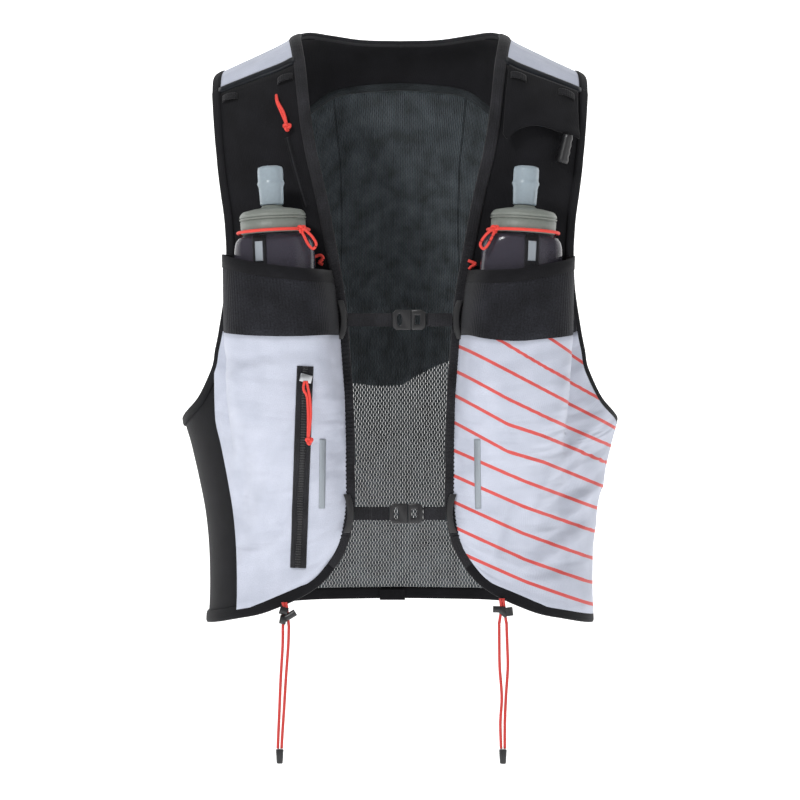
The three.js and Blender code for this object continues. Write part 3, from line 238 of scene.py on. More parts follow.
SILICONE = hard_material(
    "clear_silicone", "valve_silicone", "#b5c3cc", 0.28, Transmission_Weight=0.45, IOR=1.35
)
FILM = hard_material(
    "smoky_polyurethane_film", "flask_film", "#56535f", 0.16, 6.0, 0.3,
    Transmission_Weight=0.55, IOR=1.3,
)
RED_BRAID = hard_material("red_braided_polyester", "red_cord", "#dd4238", 0.7, 0.8, 0.3)
DARK_RED_BRAID = hard_material("dark_red_braided_polyester", "red_cord", "#c23934", 0.7, 0.8, 0.3)
ZINC = hard_material("cast_zinc", "zinc", "#c3c5c8", 0.28, Metallic=1.0)
REFLECTIVE = hard_material(
    "glass_bead_reflective_tape", "reflective", "#8f969d", 0.45, 0.5, 0.02, Metallic=0.3
)
print("materials", len(bpy.data.materials))

# %% [markdown]
# ## The worn surface
# A place on the cloth is a turn round the body in degrees and a drop in millimetres from
# the shoulder line. Both are arrays here: a line of places is (n, 2), a grid (rows, n, 2).

# %%
BODY_LENGTH = 426
CHEST_HALF = 166
CHEST_FRONT = 106
CHEST_BACK = 98
POWER = 2 / 2.4
SHOULDER_DROP = 70
SHOULDER_ARC = 110
SHOULDER_HALF = 143
NECK_HALF = 76
COLLAR_RISE = 26
COLLAR_SET = 52
ARM_DEPTH = 267.5
GAP = 0.35

# shares of the lengths above, row by row: down, half, front, back
SECTIONS = np.array([
    (0.16, 0.965, 0.84, 0.95),
    (0.3, 0.985, 0.94, 1.02),
    (0.45, 1.0, 1.0, 1.0),
    (0.628, 1.0, 0.99, 0.92),
    (0.68, 0.967, 0.975, 0.895),
    (0.743, 0.93, 0.955, 0.875),
    (0.8, 0.902, 0.94, 0.865),
    (0.864, 0.886, 0.93, 0.87),
    (0.94, 0.882, 0.94, 0.9),
    (1.0, 0.889, 0.955, 0.93),
])
# out, rise, set of the shoulder and collar line
SHOULDER_LINE = np.array([
    (0.0, 0.94, 1.0),
    (0.21, 0.96, 0.92),
    (0.385, 1.06, 0.65),
    (0.49, 1.09, 0.31),
    (0.56, 0.97, 0.1),
    (0.63, 0.73, 0.0),
    (0.8, 0.28, -0.03),
    (0.958, -0.13, -0.04),
    (1.02, -0.34, -0.04),
])


def column(table, key, at):
    """Smooth cubic through one column of a table, read along its first column."""
    xs, ys = table[:, 0], table[:, key]
    at = np.clip(at, xs[0], xs[-1])
    i = np.clip(np.searchsorted(xs, at) - 1, 0, len(xs) - 2)
    before, after = np.maximum(i - 1, 0), np.minimum(i + 2, len(xs) - 1)
    width = xs[i + 1] - xs[i]
    start = (ys[i + 1] - ys[before]) / (xs[i + 1] - xs[before]) * width
    end = (ys[after] - ys[i]) / (xs[after] - xs[i]) * width
    u = (at - xs[i]) / width
    ease = 3 * u**2 - 2 * u**3
    bend = (u**3 - 2 * u**2 + u) * start + (u**3 - u**2) * end
    return (1 - ease) * ys[i] + ease * ys[i + 1] + bend


def skin(places):
    """Points of the worn surface: a squarish oval at each height, and above the chest a
    quarter ellipse that carries it over to the shoulder line."""
    turn, drop = np.radians(places[..., 0]), places[..., 1]
    z = -SHOULDER_DROP - np.maximum(drop - SHOULDER_ARC, 0)
    s, c = np.sin(turn), np.cos(turn)
    share = -z / BODY_LENGTH
    x = CHEST_HALF * column(SECTIONS, 1, share) * np.sign(s) * np.abs(s) ** POWER
    front = CHEST_FRONT * column(SECTIONS, 2, share)
    back = CHEST_BACK * column(SECTIONS, 3, share)
    y = -np.where(c > 0, front, back) * np.sign(c) * np.abs(c) ** POWER
    swing = np.minimum(drop / SHOULDER_ARC, 1) * np.pi / 2
    out = np.abs(x) / SHOULDER_HALF
    line_y = COLLAR_SET * column(SHOULDER_LINE, 2, out)
    line_z = COLLAR_RISE * column(SHOULDER_LINE, 1, out)
    y = line_y + (y - line_y) * np.sin(swing)
    return np.stack([x, y, z + (line_z - z) * np.cos(swing)], axis=-1)


def unit(vectors):
    return vectors / np.linalg.norm(vectors, axis=-1, keepdims=True)


def runs(places, step=0.5):
    """How the surface runs per degree and per millimetre down, and its outward normal."""
    turn, down = np.array([step, 0]), np.array([0, step])
    per_degree = (skin(places + turn) - skin(places - turn)) / (2 * step)
    per_mm = (skin(places + down) - skin(places - down)) / (2 * step)
    return per_degree, per_mm, unit(np.cross(per_mm, per_degree))


def laid_out(places):
    """Points of the worn surface and its outward normal at each."""
    return skin(places), runs(places)[2]


def place_at(x, z, on_back=False):
    """The place on the chest, or on the back, that has this x and z."""
    share = max(-z, SHOULDER_DROP) / BODY_LENGTH
    half = CHEST_HALF * column(SECTIONS, 1, share)
    turn = np.degrees(np.arcsin(min(abs(x) / half, 1) ** (1 / POWER)))
    drop = SHOULDER_ARC - SHOULDER_DROP - z
    if z > -SHOULDER_DROP:
        top = COLLAR_RISE * column(SHOULDER_LINE, 1, abs(x) / SHOULDER_HALF)
        part = min((z + SHOULDER_DROP) / (top + SHOULDER_DROP), 1)
        drop = SHOULDER_ARC * np.arccos(part) / (np.pi / 2)
    side = -1 if x < 0 else 1
    return (180 - side * turn if on_back else side * turn, drop)


def place_over(x, over):
    """A place on the shoulder: over is negative on the chest, positive on the back."""
    return (place_at(x, -SHOULDER_DROP, over > 0)[0], abs(over))


def through(rows, at):
    """A cubic through the rows of a table, read at these steps of its index."""
    table = np.column_stack([np.arange(len(rows)), rows])
    return np.stack([column(table, k, at) for k in range(1, table.shape[1])], axis=-1)


def smooth(line, steps):
    """A smooth line with equal steps from one of its chosen points to the next."""
    return through(line, np.arange((len(line) - 1) * steps + 1) / steps)


def spline(points, count):
    """A smooth line of count points through a few chosen ones."""
    return through(points, np.linspace(0, len(points) - 1, count))


def aside(line, distance, closed=False):
    """Moves a line of places sideways on the surface by a real distance."""
    points = skin(line)
    along = np.gradient(points, axis=0)
    if closed:
        along = np.roll(points, -1, 0) - np.roll(points, 1, 0)
    per_degree, per_mm, out = runs(line)
    way = unit(np.cross(along, out)) * distance
    rr, dd, rd = (per_degree**2).sum(-1), (per_mm**2).sum(-1), (per_degree * per_mm).sum(-1)
    r, d = (per_degree * way).sum(-1), (per_mm * way).sum(-1)
    scale = rr * dd - rd * rd
    return line + np.stack([(dd * r - rd * d) / scale, (rr * d - rd * r) / scale], axis=-1)


def resample(line, count):
    """The line at equal steps of its index."""
    at = np.linspace(0, len(line) - 1, count + 1)
    low = np.minimum(at.astype(int), len(line) - 2)
    return line[low] + (line[low + 1] - line[low]) * (at - low)[:, None]


def lengths(points):
    """How far along a line each of its points lies."""
    return np.concatenate([[0], np.cumsum(np.linalg.norm(np.diff(points, axis=0), axis=1))])


def patch(top, bottom, left, right, columns, rows):
    """A grid of places between four edges that meet at their corners."""
    t, m = resample(top, columns), resample(bottom, columns)
    a, b = resample(left, rows), resample(right, rows)
    shares = [lengths(skin(line)) for line in (t, m, a, b)]
    shares = [way / way[-1] for way in shares]
    u = ((shares[0] + shares[1]) / 2)[None, :, None]
    v = ((shares[2] + shares[3]) / 2)[:, None, None]
    sides = (1 - u) * a[:, None] + u * b[:, None]
    ends = (1 - v) * t[None] + v * m[None]
    corners = (1 - v) * ((1 - u) * t[0] + u * t[-1]) + v * ((1 - u) * m[0] + u * m[-1])
    return sides + ends - corners


def band(first, second, columns):
    """A grid of places between two lines."""
    across = np.linspace(0, 1, columns + 1)[None, :, None]
    return first[:, None] * (1 - across) + second[:, None] * across


def mirror(line):
    return line * np.array([-1, 1])


def across_back(line):
    return np.stack([360 - line[..., 0], line[..., 1]], axis=-1)


def both_sides(line):
    return np.concatenate([across_back(line[:0:-1]), line])


print("chest half width", round(float(skin(np.array([90.0, 230.0]))[0]), 1), "mm")

# %% [markdown]
# ## The edges of the vest
# Short tables give the front opening, the hem and the armhole. Every panel and binding is
# cut along these lines. The tables are for the left side, and the right is its mirror.

# %%
STEPS = 5  # between two rows of a table
BINDING = 9
ARM_BINDING = 7.6
BINDING_IN = 1.4
BINDING_OUT = 1.9
BAND_TOP = 45
BAND_WIDTH = 7
CLOTH = 1.3
TUCK = 2.5  # how far a panel reaches under its binding
COLLAR_SHARES = [0.0, 0.27, 0.53, 0.76, 0.93]
OPENING_START = 4  # opening row at the lower edge of the satin band
ARM_START = 3
MOUTH_ROW = 6
POCKET_ROW = 8
OPENING = [
    (0.888, 0.0915), (0.842, 0.144), (0.772, 0.2), (0.704, 0.2535), (0.645, 0.31),
    (0.583, 0.3685), (0.533, 0.425), (0.503, 0.4836), (0.482, 0.535), (0.4605, 0.587),
    (0.4526, 0.629), (0.447, 0.669), (0.4447, 0.723), (0.4434, 0.777), (0.474, 0.826),
    (0.5395, 0.864), (0.645, 0.8955),
]
FRONT_HEM = [(0.789, 0.925), (0.987, 0.948), (1.224, 0.967), (1.41, 0.979)]
ROUND_HEM = [
    (53, 0.9865), (66, 0.994), (79, 0.998), (92, 0.999), (103, 0.994), (114, 0.987),
    (125, 0.98), (136, 0.975), (147, 0.971), (158, 0.968), (169, 0.967), (180, 0.966),
]
ARM_OUT = [
    (0.986, 0.179), (0.97, 0.269), (0.951, 0.355), (0.93, 0.43), (0.92, 0.49), (0.916, 0.546),
    (0.923, 0.643), (0.9545, 0.755), (0.9755, 0.811), (0.9965, 0.867), (1.07, 0.946),
]
ARM_FOOT = [(78, 0.987), (90, 1.0)]

band_bottom = BAND_TOP + BAND_WIDTH + GAP
chart_drop = SHOULDER_ARC - SHOULDER_DROP


def from_shares(shares, half, length, on_back=False):
    """Places given by their shares of a half width and of a length down."""
    return [place_at(out * half, -down * length, on_back) for out, down in shares]


collar = smooth([place_over(NECK_HALF * share, GAP) for share in COLLAR_SHARES], STEPS)
NECK_ROWS = ((1, GAP), (1, BAND_TOP / 4), (1, BAND_TOP / 2), (0.965, BAND_TOP), (0.95, band_bottom))
front_edge = [
    *[place_over(NECK_HALF * share, -down) for share, down in NECK_ROWS],
    *from_shares(OPENING, NECK_HALF, BODY_LENGTH),
]
hem_edge = [
    *from_shares(FRONT_HEM, NECK_HALF, BODY_LENGTH),
    *[(turn, chart_drop + down * BODY_LENGTH) for turn, down in ROUND_HEM],
]
neck_points = len(collar)
whole_edge = np.concatenate([collar, smooth(front_edge + hem_edge, STEPS)])
opening_end = neck_points + (len(front_edge) - 1) * STEPS
opening_top = neck_points + OPENING_START * STEPS


def arm_places(on_back):
    foot = [(turn, chart_drop + down * ARM_DEPTH) for turn, down in ARM_FOOT]
    if on_back:
        foot = [(180 - turn, drop) for turn, drop in foot]
    return from_shares(ARM_OUT, SHOULDER_HALF, ARM_DEPTH, on_back) + foot


shoulder_top = SHOULDER_HALF * 0.986
arm_front = [
    place_over(shoulder_top, -GAP),
    *[place_over(SHOULDER_HALF, -over) for over in (BAND_TOP / 2, BAND_TOP, band_bottom)],
    *arm_places(False),
]
arm_back = [
    place_over(shoulder_top, BINDING + 3 * GAP),
    *[place_over(SHOULDER_HALF, over) for over in (BAND_TOP / 2, BAND_TOP)],
    *arm_places(True),
]
arm_edge = smooth(arm_front + arm_back[-2::-1], STEPS)

# the opening, the hem and the armhole, moved in from the cut edge
edge_in = aside(whole_edge, -(BINDING - TUCK))
opening_in, hem_in = edge_in[: opening_end + 1], edge_in[opening_end:]
arm_in = aside(arm_edge, ARM_BINDING - TUCK, closed=True)
SEAM_ROWS = {"right": 10, "left": 13}
HEM_SEAMS = {"right": 5, "left": 8}
BACK_SEAM = 19  # armhole station where the side panel ends
BACK_HEM_SEAM = 11
print("edge", len(whole_edge), "places; armhole", len(arm_edge))

# %% [markdown]
# ## Making a mesh
# A grid of points becomes a quad mesh with a UV map in millimetres. A wall has an outer
# and an inner face joined round the rim, and it is turned outwards by its volume.

# %%
def make_mesh(name, points, quads, material, uv):
    """One object from points in millimetres, quads and a millimetre UV for each point."""
    mesh = bpy.data.meshes.new(name)
    mesh.vertices.add(len(points))
    mesh.vertices.foreach_set("co", (points * MM).astype(np.float32).ravel())
    mesh.loops.add(quads.size)
    mesh.loops.foreach_set("vertex_index", quads.astype(np.int32).ravel())
    mesh.polygons.add(len(quads))
    mesh.polygons.foreach_set("loop_start", np.arange(len(quads), dtype=np.int32) * 4)
    mesh.update(calc_edges=True)
    layer = mesh.uv_layers.new(name="millimetres")
    layer.data.foreach_set("uv", uv[quads.ravel()].astype(np.float32).ravel())
    mesh.polygons.foreach_set("use_smooth", np.ones(len(quads), bool))
    mesh.materials.append(material)
    return add_object(name, mesh)


def finish_piece(piece, *nodes):
    """The piece moves with the vest and stands for these CAD nodes.
    A piece that stands for none is a detail of its neighbour."""
    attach(piece, "root")
    if nodes:
        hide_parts(*nodes)
    return piece


def volume(points, quads):
    corner = points[quads]
    halves = [np.cross(corner[:, i], corner[:, i + 1]) * corner[:, 0] for i in (1, 2)]
    return sum(half.sum() for half in halves)


def outward(points, quads):
    return quads if volume(points, quads) > 0 else quads[:, ::-1]


def strips(a, b):
    """Quads between two rows of point numbers, for one pair of rows or for many."""
    return np.stack([a[:-1], a[1:], b[1:], b[:-1]], axis=-1).reshape(-1, 4)


def wall(name, outer, inner, material, *nodes, closed=False):
    """A closed piece between two grids of points."""
    rows, columns = outer.shape[:2]
    face = np.arange(rows * columns).reshape(rows, columns)
    if closed:
        face = np.concatenate([face, face[:1]])
    rear = face + rows * columns
    parts = [
        strips(face[:, :-1], face[:, 1:]),
        strips(rear[:, 1:], rear[:, :-1]),
        strips(rear[:, 0], face[:, 0]),
        strips(face[:, -1], rear[:, -1]),
    ]
    if not closed:
        parts += [strips(face[0], rear[0]), strips(rear[-1], face[-1])]
    points = np.concatenate([outer.reshape(-1, 3), inner.reshape(-1, 3)])
    index = outward(points, np.concatenate(parts))
    down = lengths(outer[:, columns // 2])
    across = np.stack([lengths(row) for row in outer])
    uv = np.stack(np.broadcast_arrays(across, down[:, None]), axis=-1).reshape(-1, 2)
    piece = make_mesh(name, points, index, material, np.concatenate([uv, uv]))
    return finish_piece(piece, *nodes)


def sheet(name, places, over, under, material, *nodes):
    """A wall between two heights over a grid of places on the worn surface."""
    points, out = laid_out(places)
    return wall(name, points + out * over, points + out * under, material, *nodes)


def folded(columns, power):
    """0 at the edges of a strip and 1 over most of its width."""
    return 1 - np.abs(np.linspace(-1, 1, columns + 1)) ** power


# %% [markdown]
# ## Bindings
# Each bound edge is a folded strip, thickest along its middle. The front ones carry a
# ladder of raised ribs for the strap hooks.

# %%
LADDER_PITCH = 3.2
LADDER_RELIEF = 0.75
LADDER_FINE = 6
LADDER_TOP, LADDER_FOOT, LADDER_FADE = -128, -362, 6
LADDER_MIDDLE, LADDER_HALF = 0.42, 0.34
LADDER_VALLEY = -0.2
BOUND_COLUMNS = 12
RIM_OUT, RIM_IN = 0.9, 0.7


def bound(name, cut, sewn, material, *nodes, closed=False, ladder=False):
    """A folded binding between its cut line and its sewn line."""
    places = band(cut, sewn, BOUND_COLUMNS)
    points, out = laid_out(places)
    fold = folded(BOUND_COLUMNS, 5)[None, :, None]
    raised = RIM_OUT + (BINDING_OUT - RIM_OUT) * fold
    if ladder:
        count = LADDER_FINE * len(cut)
        points, out = (
            np.stack([resample(line, count) for line in np.swapaxes(grid, 0, 1)], axis=1)
            for grid in (points, out)
        )
        along = lengths(points[:, 0])[:, None, None]
        rib = np.maximum(np.sin(along * 2 * np.pi / LADDER_PITCH), LADDER_VALLEY)
        z = points[..., 2:]
        ends = (LADDER_TOP - z) / LADDER_FADE, (z - LADDER_FOOT) / LADDER_FADE
        inside = np.clip(ends[0], 0, 1) * np.clip(ends[1], 0, 1)
        across = np.linspace(0, 1, BOUND_COLUMNS + 1)[None, :, None]
        inside = inside * (np.abs(across - LADDER_MIDDLE) < LADDER_HALF)
        raised = raised + LADDER_RELIEF * rib * inside
    inner = points - out * (RIM_IN + (BINDING_IN - RIM_IN) * fold)
    wall(name, points + out * raised, inner, material, *nodes, closed=closed)


sewn_edge = aside(whole_edge, -BINDING)
sewn_edge[0, 0] = whole_edge[0, 0]  # both sides meet at the middle of the collar
arm_sewn = aside(arm_edge, ARM_BINDING, closed=True)
for name, turned in (("right", mirror), ("left", np.array)):
    lines = (turned(edge[: opening_end + 1]) for edge in (whole_edge, sewn_edge))
    bound(f"front_edge_{name}", *lines, WEBBING, f"front_binding_{name}", ladder=True)
    lines = turned(arm_edge), turned(arm_sewn)
    bound(f"armhole_edge_{name}", *lines, JERSEY, f"armhole_binding_{name}", closed=True)


def whole_round(line):
    """A hem line from the left front corner round the back to the right one."""
    return np.concatenate([line, across_back(line[-2::-1])])


lines = (whole_round(edge[opening_end:]) for edge in (whole_edge, sewn_edge))
bound("hem_edge", *lines, JERSEY, "hem_binding")
print("bindings made")

# %% [markdown]
# ## Panels, holsters and pockets
# The white pocket and the holster above it are lifted off the chest by the flask, along
# one facing turned a little outwards. Below the flask the bulge dies away, and creases
# from a short table are pressed into the white cloth.

# %%
POCKET_AIR = 0.8
POCKET_CLOTH = 1.2
FLASK_SHIFT = {"right": 1.5, "left": -1.1}
FLASK_LEAN = np.radians(3)
POCKET_FACING = np.radians(12)
FLASK_HALF = 30.6
FLASK_DEEP = 20
FLASK_LENGTH = 148
FLASK_TOP = 131
FLASK_SEAT = 6.5
HEAD_SEAT = 1.0
FLASK_CORD = 2.4
CAP_RADIUS = 25
HOLSTER_SPAN = 47
HOLSTER_BACK = 1.5
HOLSTER_POWER = 4
HOLSTER_AIR = 2
SOFT_SPAN, SOFT_FROM, SOFT_OVER = 56, 250, 45
CREASE_DEPTH = 2.8
CREASE_BEND = 0.12
VALLEY_SHARE = 0.4  # of the air below, so that no crease reaches the panel under it
EASE = 6  # grid steps over which the creases die away at the edges
PANEL_ROWS = 17  # table rows from the satin band to the hem
MOUTH_ROWS, MOUTH_OUT, MOUTH_IN = 3, 0.7, 0.05
SIDES = {"right": -1, "left": 1}
mouth_inner = OPENING[MOUTH_ROW][0] * NECK_HALF + BINDING
mouth_outer = ARM_OUT[MOUTH_ROW][0] * SHOULDER_HALF - ARM_BINDING
FLASK_OUT = {name: (mouth_inner + mouth_outer) / 2 + shift for name, shift in FLASK_SHIFT.items()}
BULGE = np.array([
    (0.28, 1.0), (0.45, 1.0), (0.6, 0.985), (0.68, 0.8),
    (0.76, 0.42), (0.85, 0.14), (0.92, 0.0), (1.0, 0.0),
])
# Creases on the white cloth: x, z of the middle, slant in degrees, half length, width, height
CREASES = {
    "right": np.array([
        (-92, -222, -4, 40, 3.5, -1.2), (-112, -232, 12, 20, 4, 0.9), (-100, -330, 62, 34, 6, 1.5),
        (-118, -318, 70, 30, 5, -1.3), (-84, -352, 48, 26, 6, 1.2), (-110, -372, 24, 30, 5, 1.4),
        (-96, -392, 14, 34, 5, -1.2), (-66, -392, 40, 16, 4, 1.0), (-128, -290, 84, 36, 5, 1.1),
    ]),
    "left": np.array([
        (88, -224, 6, 36, 3.5, -1.0), (128, -292, 40, 30, 4, 1.5), (138, -306, 44, 30, 4, -1.3),
        (120, -318, 36, 34, 4.5, 1.3), (132, -336, 34, 30, 4, 1.4), (124, -352, 30, 30, 4, -1.2),
        (112, -368, 22, 34, 5, 1.3), (92, -382, 16, 34, 5, 1.1), (74, -352, 64, 26, 5, 1.1),
        (130, -378, 18, 22, 4, -1.2), (100, -330, 54, 30, 6, 1.0),
    ]),
}


def facing(side):
    return np.array([side * np.sin(POCKET_FACING), -np.cos(POCKET_FACING), 0])


def flask_line(name, z):
    """How far out the flask's middle line is at a height."""
    return FLASK_OUT[name] - np.maximum(0, -z - FLASK_TOP) * np.tan(FLASK_LEAN)


def lifted(points, name):
    """How far the flask lifts the cloth over each point of a grid of the chest."""
    height = FLASK_DEEP + CAP_RADIUS + 1.5 * FLASK_CORD + HOLSTER_AIR
    lift = np.zeros(points.shape[:2])
    for i, row in enumerate(points):
        far = lengths(row)
        middle = np.interp(flask_line(name, row[0, 2]) - HOLSTER_BACK, np.abs(row[:, 0]), far)
        room = np.where(far < middle, middle, far[-1] - middle)
        firm, wide = (
            np.clip(1 - (np.abs(far - middle) / np.minimum(room, span)) ** power, 0, 1)
            for span, power in ((HOLSTER_SPAN, HOLSTER_POWER), (SOFT_SPAN, 3))
        )
        soft = np.clip((-row[:, 2] - SOFT_FROM) / SOFT_OVER, 0, 1)
        dome = firm ** (1 / HOLSTER_POWER) * (1 - soft) + wide**1.5 * soft
        lift[i] = height * dome * column(BULGE, 1, -row[:, 2] / BODY_LENGTH)
    return lift


def creased(points, table):
    """Height of the creases at each point: each is a ridge or a valley across its slant."""
    height = np.zeros(points.shape[:2])
    for x, z, slant, half, width, rise in table:
        c, s = np.cos(np.radians(slant)), np.sin(np.radians(slant))
        along = (points[..., 0] - x) * c + (points[..., 2] - z) * s
        across = (points[..., 2] - z) * c - (points[..., 0] - x) * s
        across = across - CREASE_BEND * half * np.sin(along / half * 2)
        height += rise * np.exp(-((along / half) ** 2) - (across / width) ** 2)
    return height


def turned_line(name, line):
    return mirror(line) if name == "right" else line


pockets = {}
for name, side in SIDES.items():
    seam_row, hem_seam = SEAM_ROWS[name], HEM_SEAMS[name]
    seam_at = (ARM_START + seam_row) * STEPS
    arm, foot = arm_in[ARM_START * STEPS : seam_at + 1], hem_in[: hem_seam * STEPS + 1]
    steps = np.linspace(0, 1, (PANEL_ROWS - seam_row) * STEPS + 1)[1:, None]
    seam = arm[-1] + (foot[-1] - arm[-1]) * steps
    outer_edge = turned_line(name, np.concatenate([arm, seam]))
    inner_edge = turned_line(name, opening_in[opening_top:])
    top = np.stack([inner_edge[0], outer_edge[0]])
    columns, rows = 10 * hem_seam + 40, PANEL_ROWS * STEPS
    grid = patch(top, turned_line(name, foot), inner_edge, outer_edge, columns, rows)
    sheet(f"chest_{name}", grid, 0, -CLOTH, JERSEY, f"front_panel_{name}")

    points, out = laid_out(grid)
    lift = lifted(points, name)
    raised = points + facing(side) * lift[..., None]
    inner = raised + out * POCKET_AIR
    outer = inner + out * POCKET_CLOTH
    room_below = VALLEY_SHARE * (POCKET_AIR + lift)
    rumple = np.maximum(CREASE_DEPTH * creased(raised, CREASES[name]), -room_below)
    across, up = np.arange(columns + 1), np.arange(rows + 1)[::-1, None]
    ease = np.clip(np.minimum(across, across[::-1]) / EASE, 0, 1) * np.clip(up / EASE, 0, 1)
    rumple = out * (rumple * ease)[..., None]
    start, pocket_start = MOUTH_ROW * STEPS, POCKET_ROW * STEPS
    pockets[name], behind = (outer + rumple)[pocket_start:], (inner + rumple)[pocket_start:]
    wall(f"pocket_{name}", pockets[name], behind, RIPSTOP, f"chest_panel_{name}")
    cut, mouth = slice(start, pocket_start + 1), slice(start, start + MOUTH_ROWS)
    wall(f"holster_cloth_{name}", outer[cut], inner[cut], HOLSTER, f"holster_{name}")
    lips = ((outer + out * height)[mouth] for height in (MOUTH_OUT, MOUTH_IN))
    wall(f"mouth_band_{name}", *lips, JERSEY)

    arm_top = turned_line(name, arm_in[seam_at : (BACK_SEAM + 1) * STEPS + 1])
    hem_part = turned_line(name, hem_in[hem_seam * STEPS : BACK_HEM_SEAM * STEPS + 1])
    ends = (np.stack([arm_top[k], hem_part[k]]) for k in (0, -1))
    grid = patch(arm_top, hem_part, *ends, 60, 40)
    sheet(f"side_{name}", grid, 0, -CLOTH, JERSEY, f"side_panel_{name}")
print("pockets", {name: rows.shape for name, rows in pockets.items()})

# %% [markdown]
# ## Shoulders and back
# Caps and satin bands run over the shoulders. The back has a yoke, a padded arch, and a
# net whose holes are real: wavy strands lean on their neighbours by turns.

# %%
PIPING = 7
PIPING_PAD = 3
PIPING_OUT, PIPING_RIM, PIPING_PUFF = 0.6, 0.4, 0.6
BACK_POCKET_AIR = 1.6
ARCH_HALF_OUT = 0.895
LAYER_HALF_OUT = 0.62
SEAM_HALF, SEAM_DEPTH = 0.9, 0.7
NET_WIDTH, NET_HEIGHT = 330, 385
NET_PITCH = 3.1
NET_PERIOD = 3.9
STRAND_WIDTH = 1.46
STRAND_THICK = 0.5
STRAND_REACH = 0.92  # how near a strand comes to the neighbour that it leans on
ARCH = np.array([
    (0.0, 0.017), (0.18, 0.021), (0.36, 0.031), (0.49, 0.06), (0.6, 0.089), (0.72, 0.121),
    (0.895, 0.168),
])
BACK_LAYER_EDGE = np.array([
    (-0.62, 0.53), (-0.28, 0.565), (0.0, 0.57), (0.09, 0.553), (0.25, 0.528), (0.62, 0.49),
])


def arm_side(over):
    share = min(abs(over) / (BAND_TOP / 2), 1)
    return shoulder_top + (SHOULDER_HALF - shoulder_top) * share - ARM_BINDING - GAP + TUCK


def neck_side(over):
    share = max((-over - BAND_TOP / 2) / (BAND_TOP / 2), 0)
    return NECK_HALF * (1 - 0.035 * share) + BINDING + GAP - TUCK


def shoulder_grid(side, from_over, to_over, rows, columns=24):
    grid = []
    for over in np.linspace(from_over, to_over, rows + 1):
        xs = np.linspace(neck_side(over), arm_side(over), columns + 1)
        grid.append([place_over(side * x, over if abs(over) > GAP else -GAP) for x in xs])
    return np.array(grid)


for name, side in SIDES.items():
    grid = shoulder_grid(side, -BAND_TOP + GAP, BINDING, 30)
    over = np.linspace(0, 1, 31)[:, None, None]
    soft = 0.5 * np.sin(over * np.pi) + 0.25 * np.sin(skin(grid)[..., :1] / 9 + over * 5)
    height = 0.65 + 0.4 * soft
    sheet(f"cap_cloth_{name}", grid, height, -CLOTH, RIPSTOP, f"shoulder_cap_{name}")
    grid = shoulder_grid(side, -BAND_TOP - BAND_WIDTH, -BAND_TOP, 8)
    height = 1 + 0.9 * folded(8, 4)[:, None, None]
    sheet(f"satin_{name}", grid, height, -BINDING_IN, SATIN, f"shoulder_band_{name}")

arch_out = np.linspace(0, ARCH_HALF_OUT, 12 * STEPS + 1)
arch_shares = zip(arch_out, column(ARCH, 1, arch_out))
arch = both_sides(np.array(from_shares(arch_shares, SHOULDER_HALF, BODY_LENGTH, True)))
grid = band(aside(arch, PIPING / 2), aside(arch, -PIPING / 2), 10)
puff = np.sqrt(np.clip(1 - np.linspace(-1, 1, 11) ** 2, 0, 1))[None, :, None]
over, under = PIPING_OUT + PIPING_PUFF * puff, -PIPING_RIM - (PIPING_PAD - PIPING_RIM) * puff
sheet("arch_pad", grid, over, under, PADDED_NET, "back_piping")

# the back edge of the armhole from the shoulder down, then the side seam to the hem
rear_arm = arm_in[BACK_SEAM * STEPS + STEPS :][::-1]
rear_arm = rear_arm[rear_arm[:, 1] > BINDING + BAND_WIDTH]
rear_arm = np.concatenate([[place_over(arm_side(BINDING), BINDING)], rear_arm])
arch_foot = arch[-1, 1]


def rear_cut(start, end):
    """The armhole's back edge between two drops."""
    drop = np.linspace(start, end, 41)
    return np.stack([np.interp(drop, rear_arm[:, 1], rear_arm[:, 0]), drop], axis=-1)


cap_edge = [place_over(x, BINDING) for x in np.linspace(neck_side(0), arm_side(BINDING), 20)]
collar_in = edge_in[: 3 * STEPS + 1]
yoke_top = both_sides(np.concatenate([collar_in, cap_edge]))
yoke_side = rear_cut(rear_arm[0, 1], arch_foot - PIPING / 2)
yoke_foot = aside(arch, PIPING / 2 - 1)
yoke_foot[0], yoke_foot[-1] = across_back(yoke_side[-1]), yoke_side[-1]
yoke = patch(yoke_top, yoke_foot, across_back(yoke_side), yoke_side, 120, 30)
seam = np.exp(-((skin(yoke)[..., :1] / SEAM_HALF) ** 2)) * SEAM_DEPTH
sheet("yoke_cloth", yoke, -seam, -CLOTH, JERSEY, "back_yoke")

seam_top = rear_arm[-1]
hem_seam_foot = hem_in[BACK_HEM_SEAM * STEPS]
side_seam = seam_top + (hem_seam_foot - seam_top) * np.linspace(0, 1, 41)[1:, None]
net_side = np.concatenate([rear_cut(arch_foot + PIPING / 2, seam_top[1]), side_seam])
net_top = aside(arch, -PIPING / 2 + 1)
net_top[0], net_top[-1] = across_back(net_side[0]), net_side[0]
net_foot = both_sides(hem_in[BACK_HEM_SEAM * STEPS :][::-1])


def evened(grid):
    """The grid with its columns at equal distances along each row."""
    rows = []
    for row in grid:
        way = lengths(skin(row))
        at = np.linspace(0, way[-1], len(row))
        rows.append(np.stack([np.interp(at, way, row[:, k]) for k in (0, 1)], axis=-1))
    return np.array(rows)


net_grid = evened(patch(net_top, net_foot, across_back(net_side), net_side, 120, 120))


def grid_at(points, u, v):
    """Points of a grid at shares across and down, straight between its corners."""
    rows, columns = points.shape[0] - 1, points.shape[1] - 1
    x, y = np.clip(u, 0, 1) * columns, np.clip(v, 0, 1) * rows
    j, i = np.minimum(x.astype(int), columns - 1), np.minimum(y.astype(int), rows - 1)
    x, y = (x - j)[..., None], (y - i)[..., None]
    upper = points[i, j] * (1 - x) + points[i, j + 1] * x
    lower = points[i + 1, j] * (1 - x) + points[i + 1, j + 1] * x
    return upper * (1 - y) + lower * y


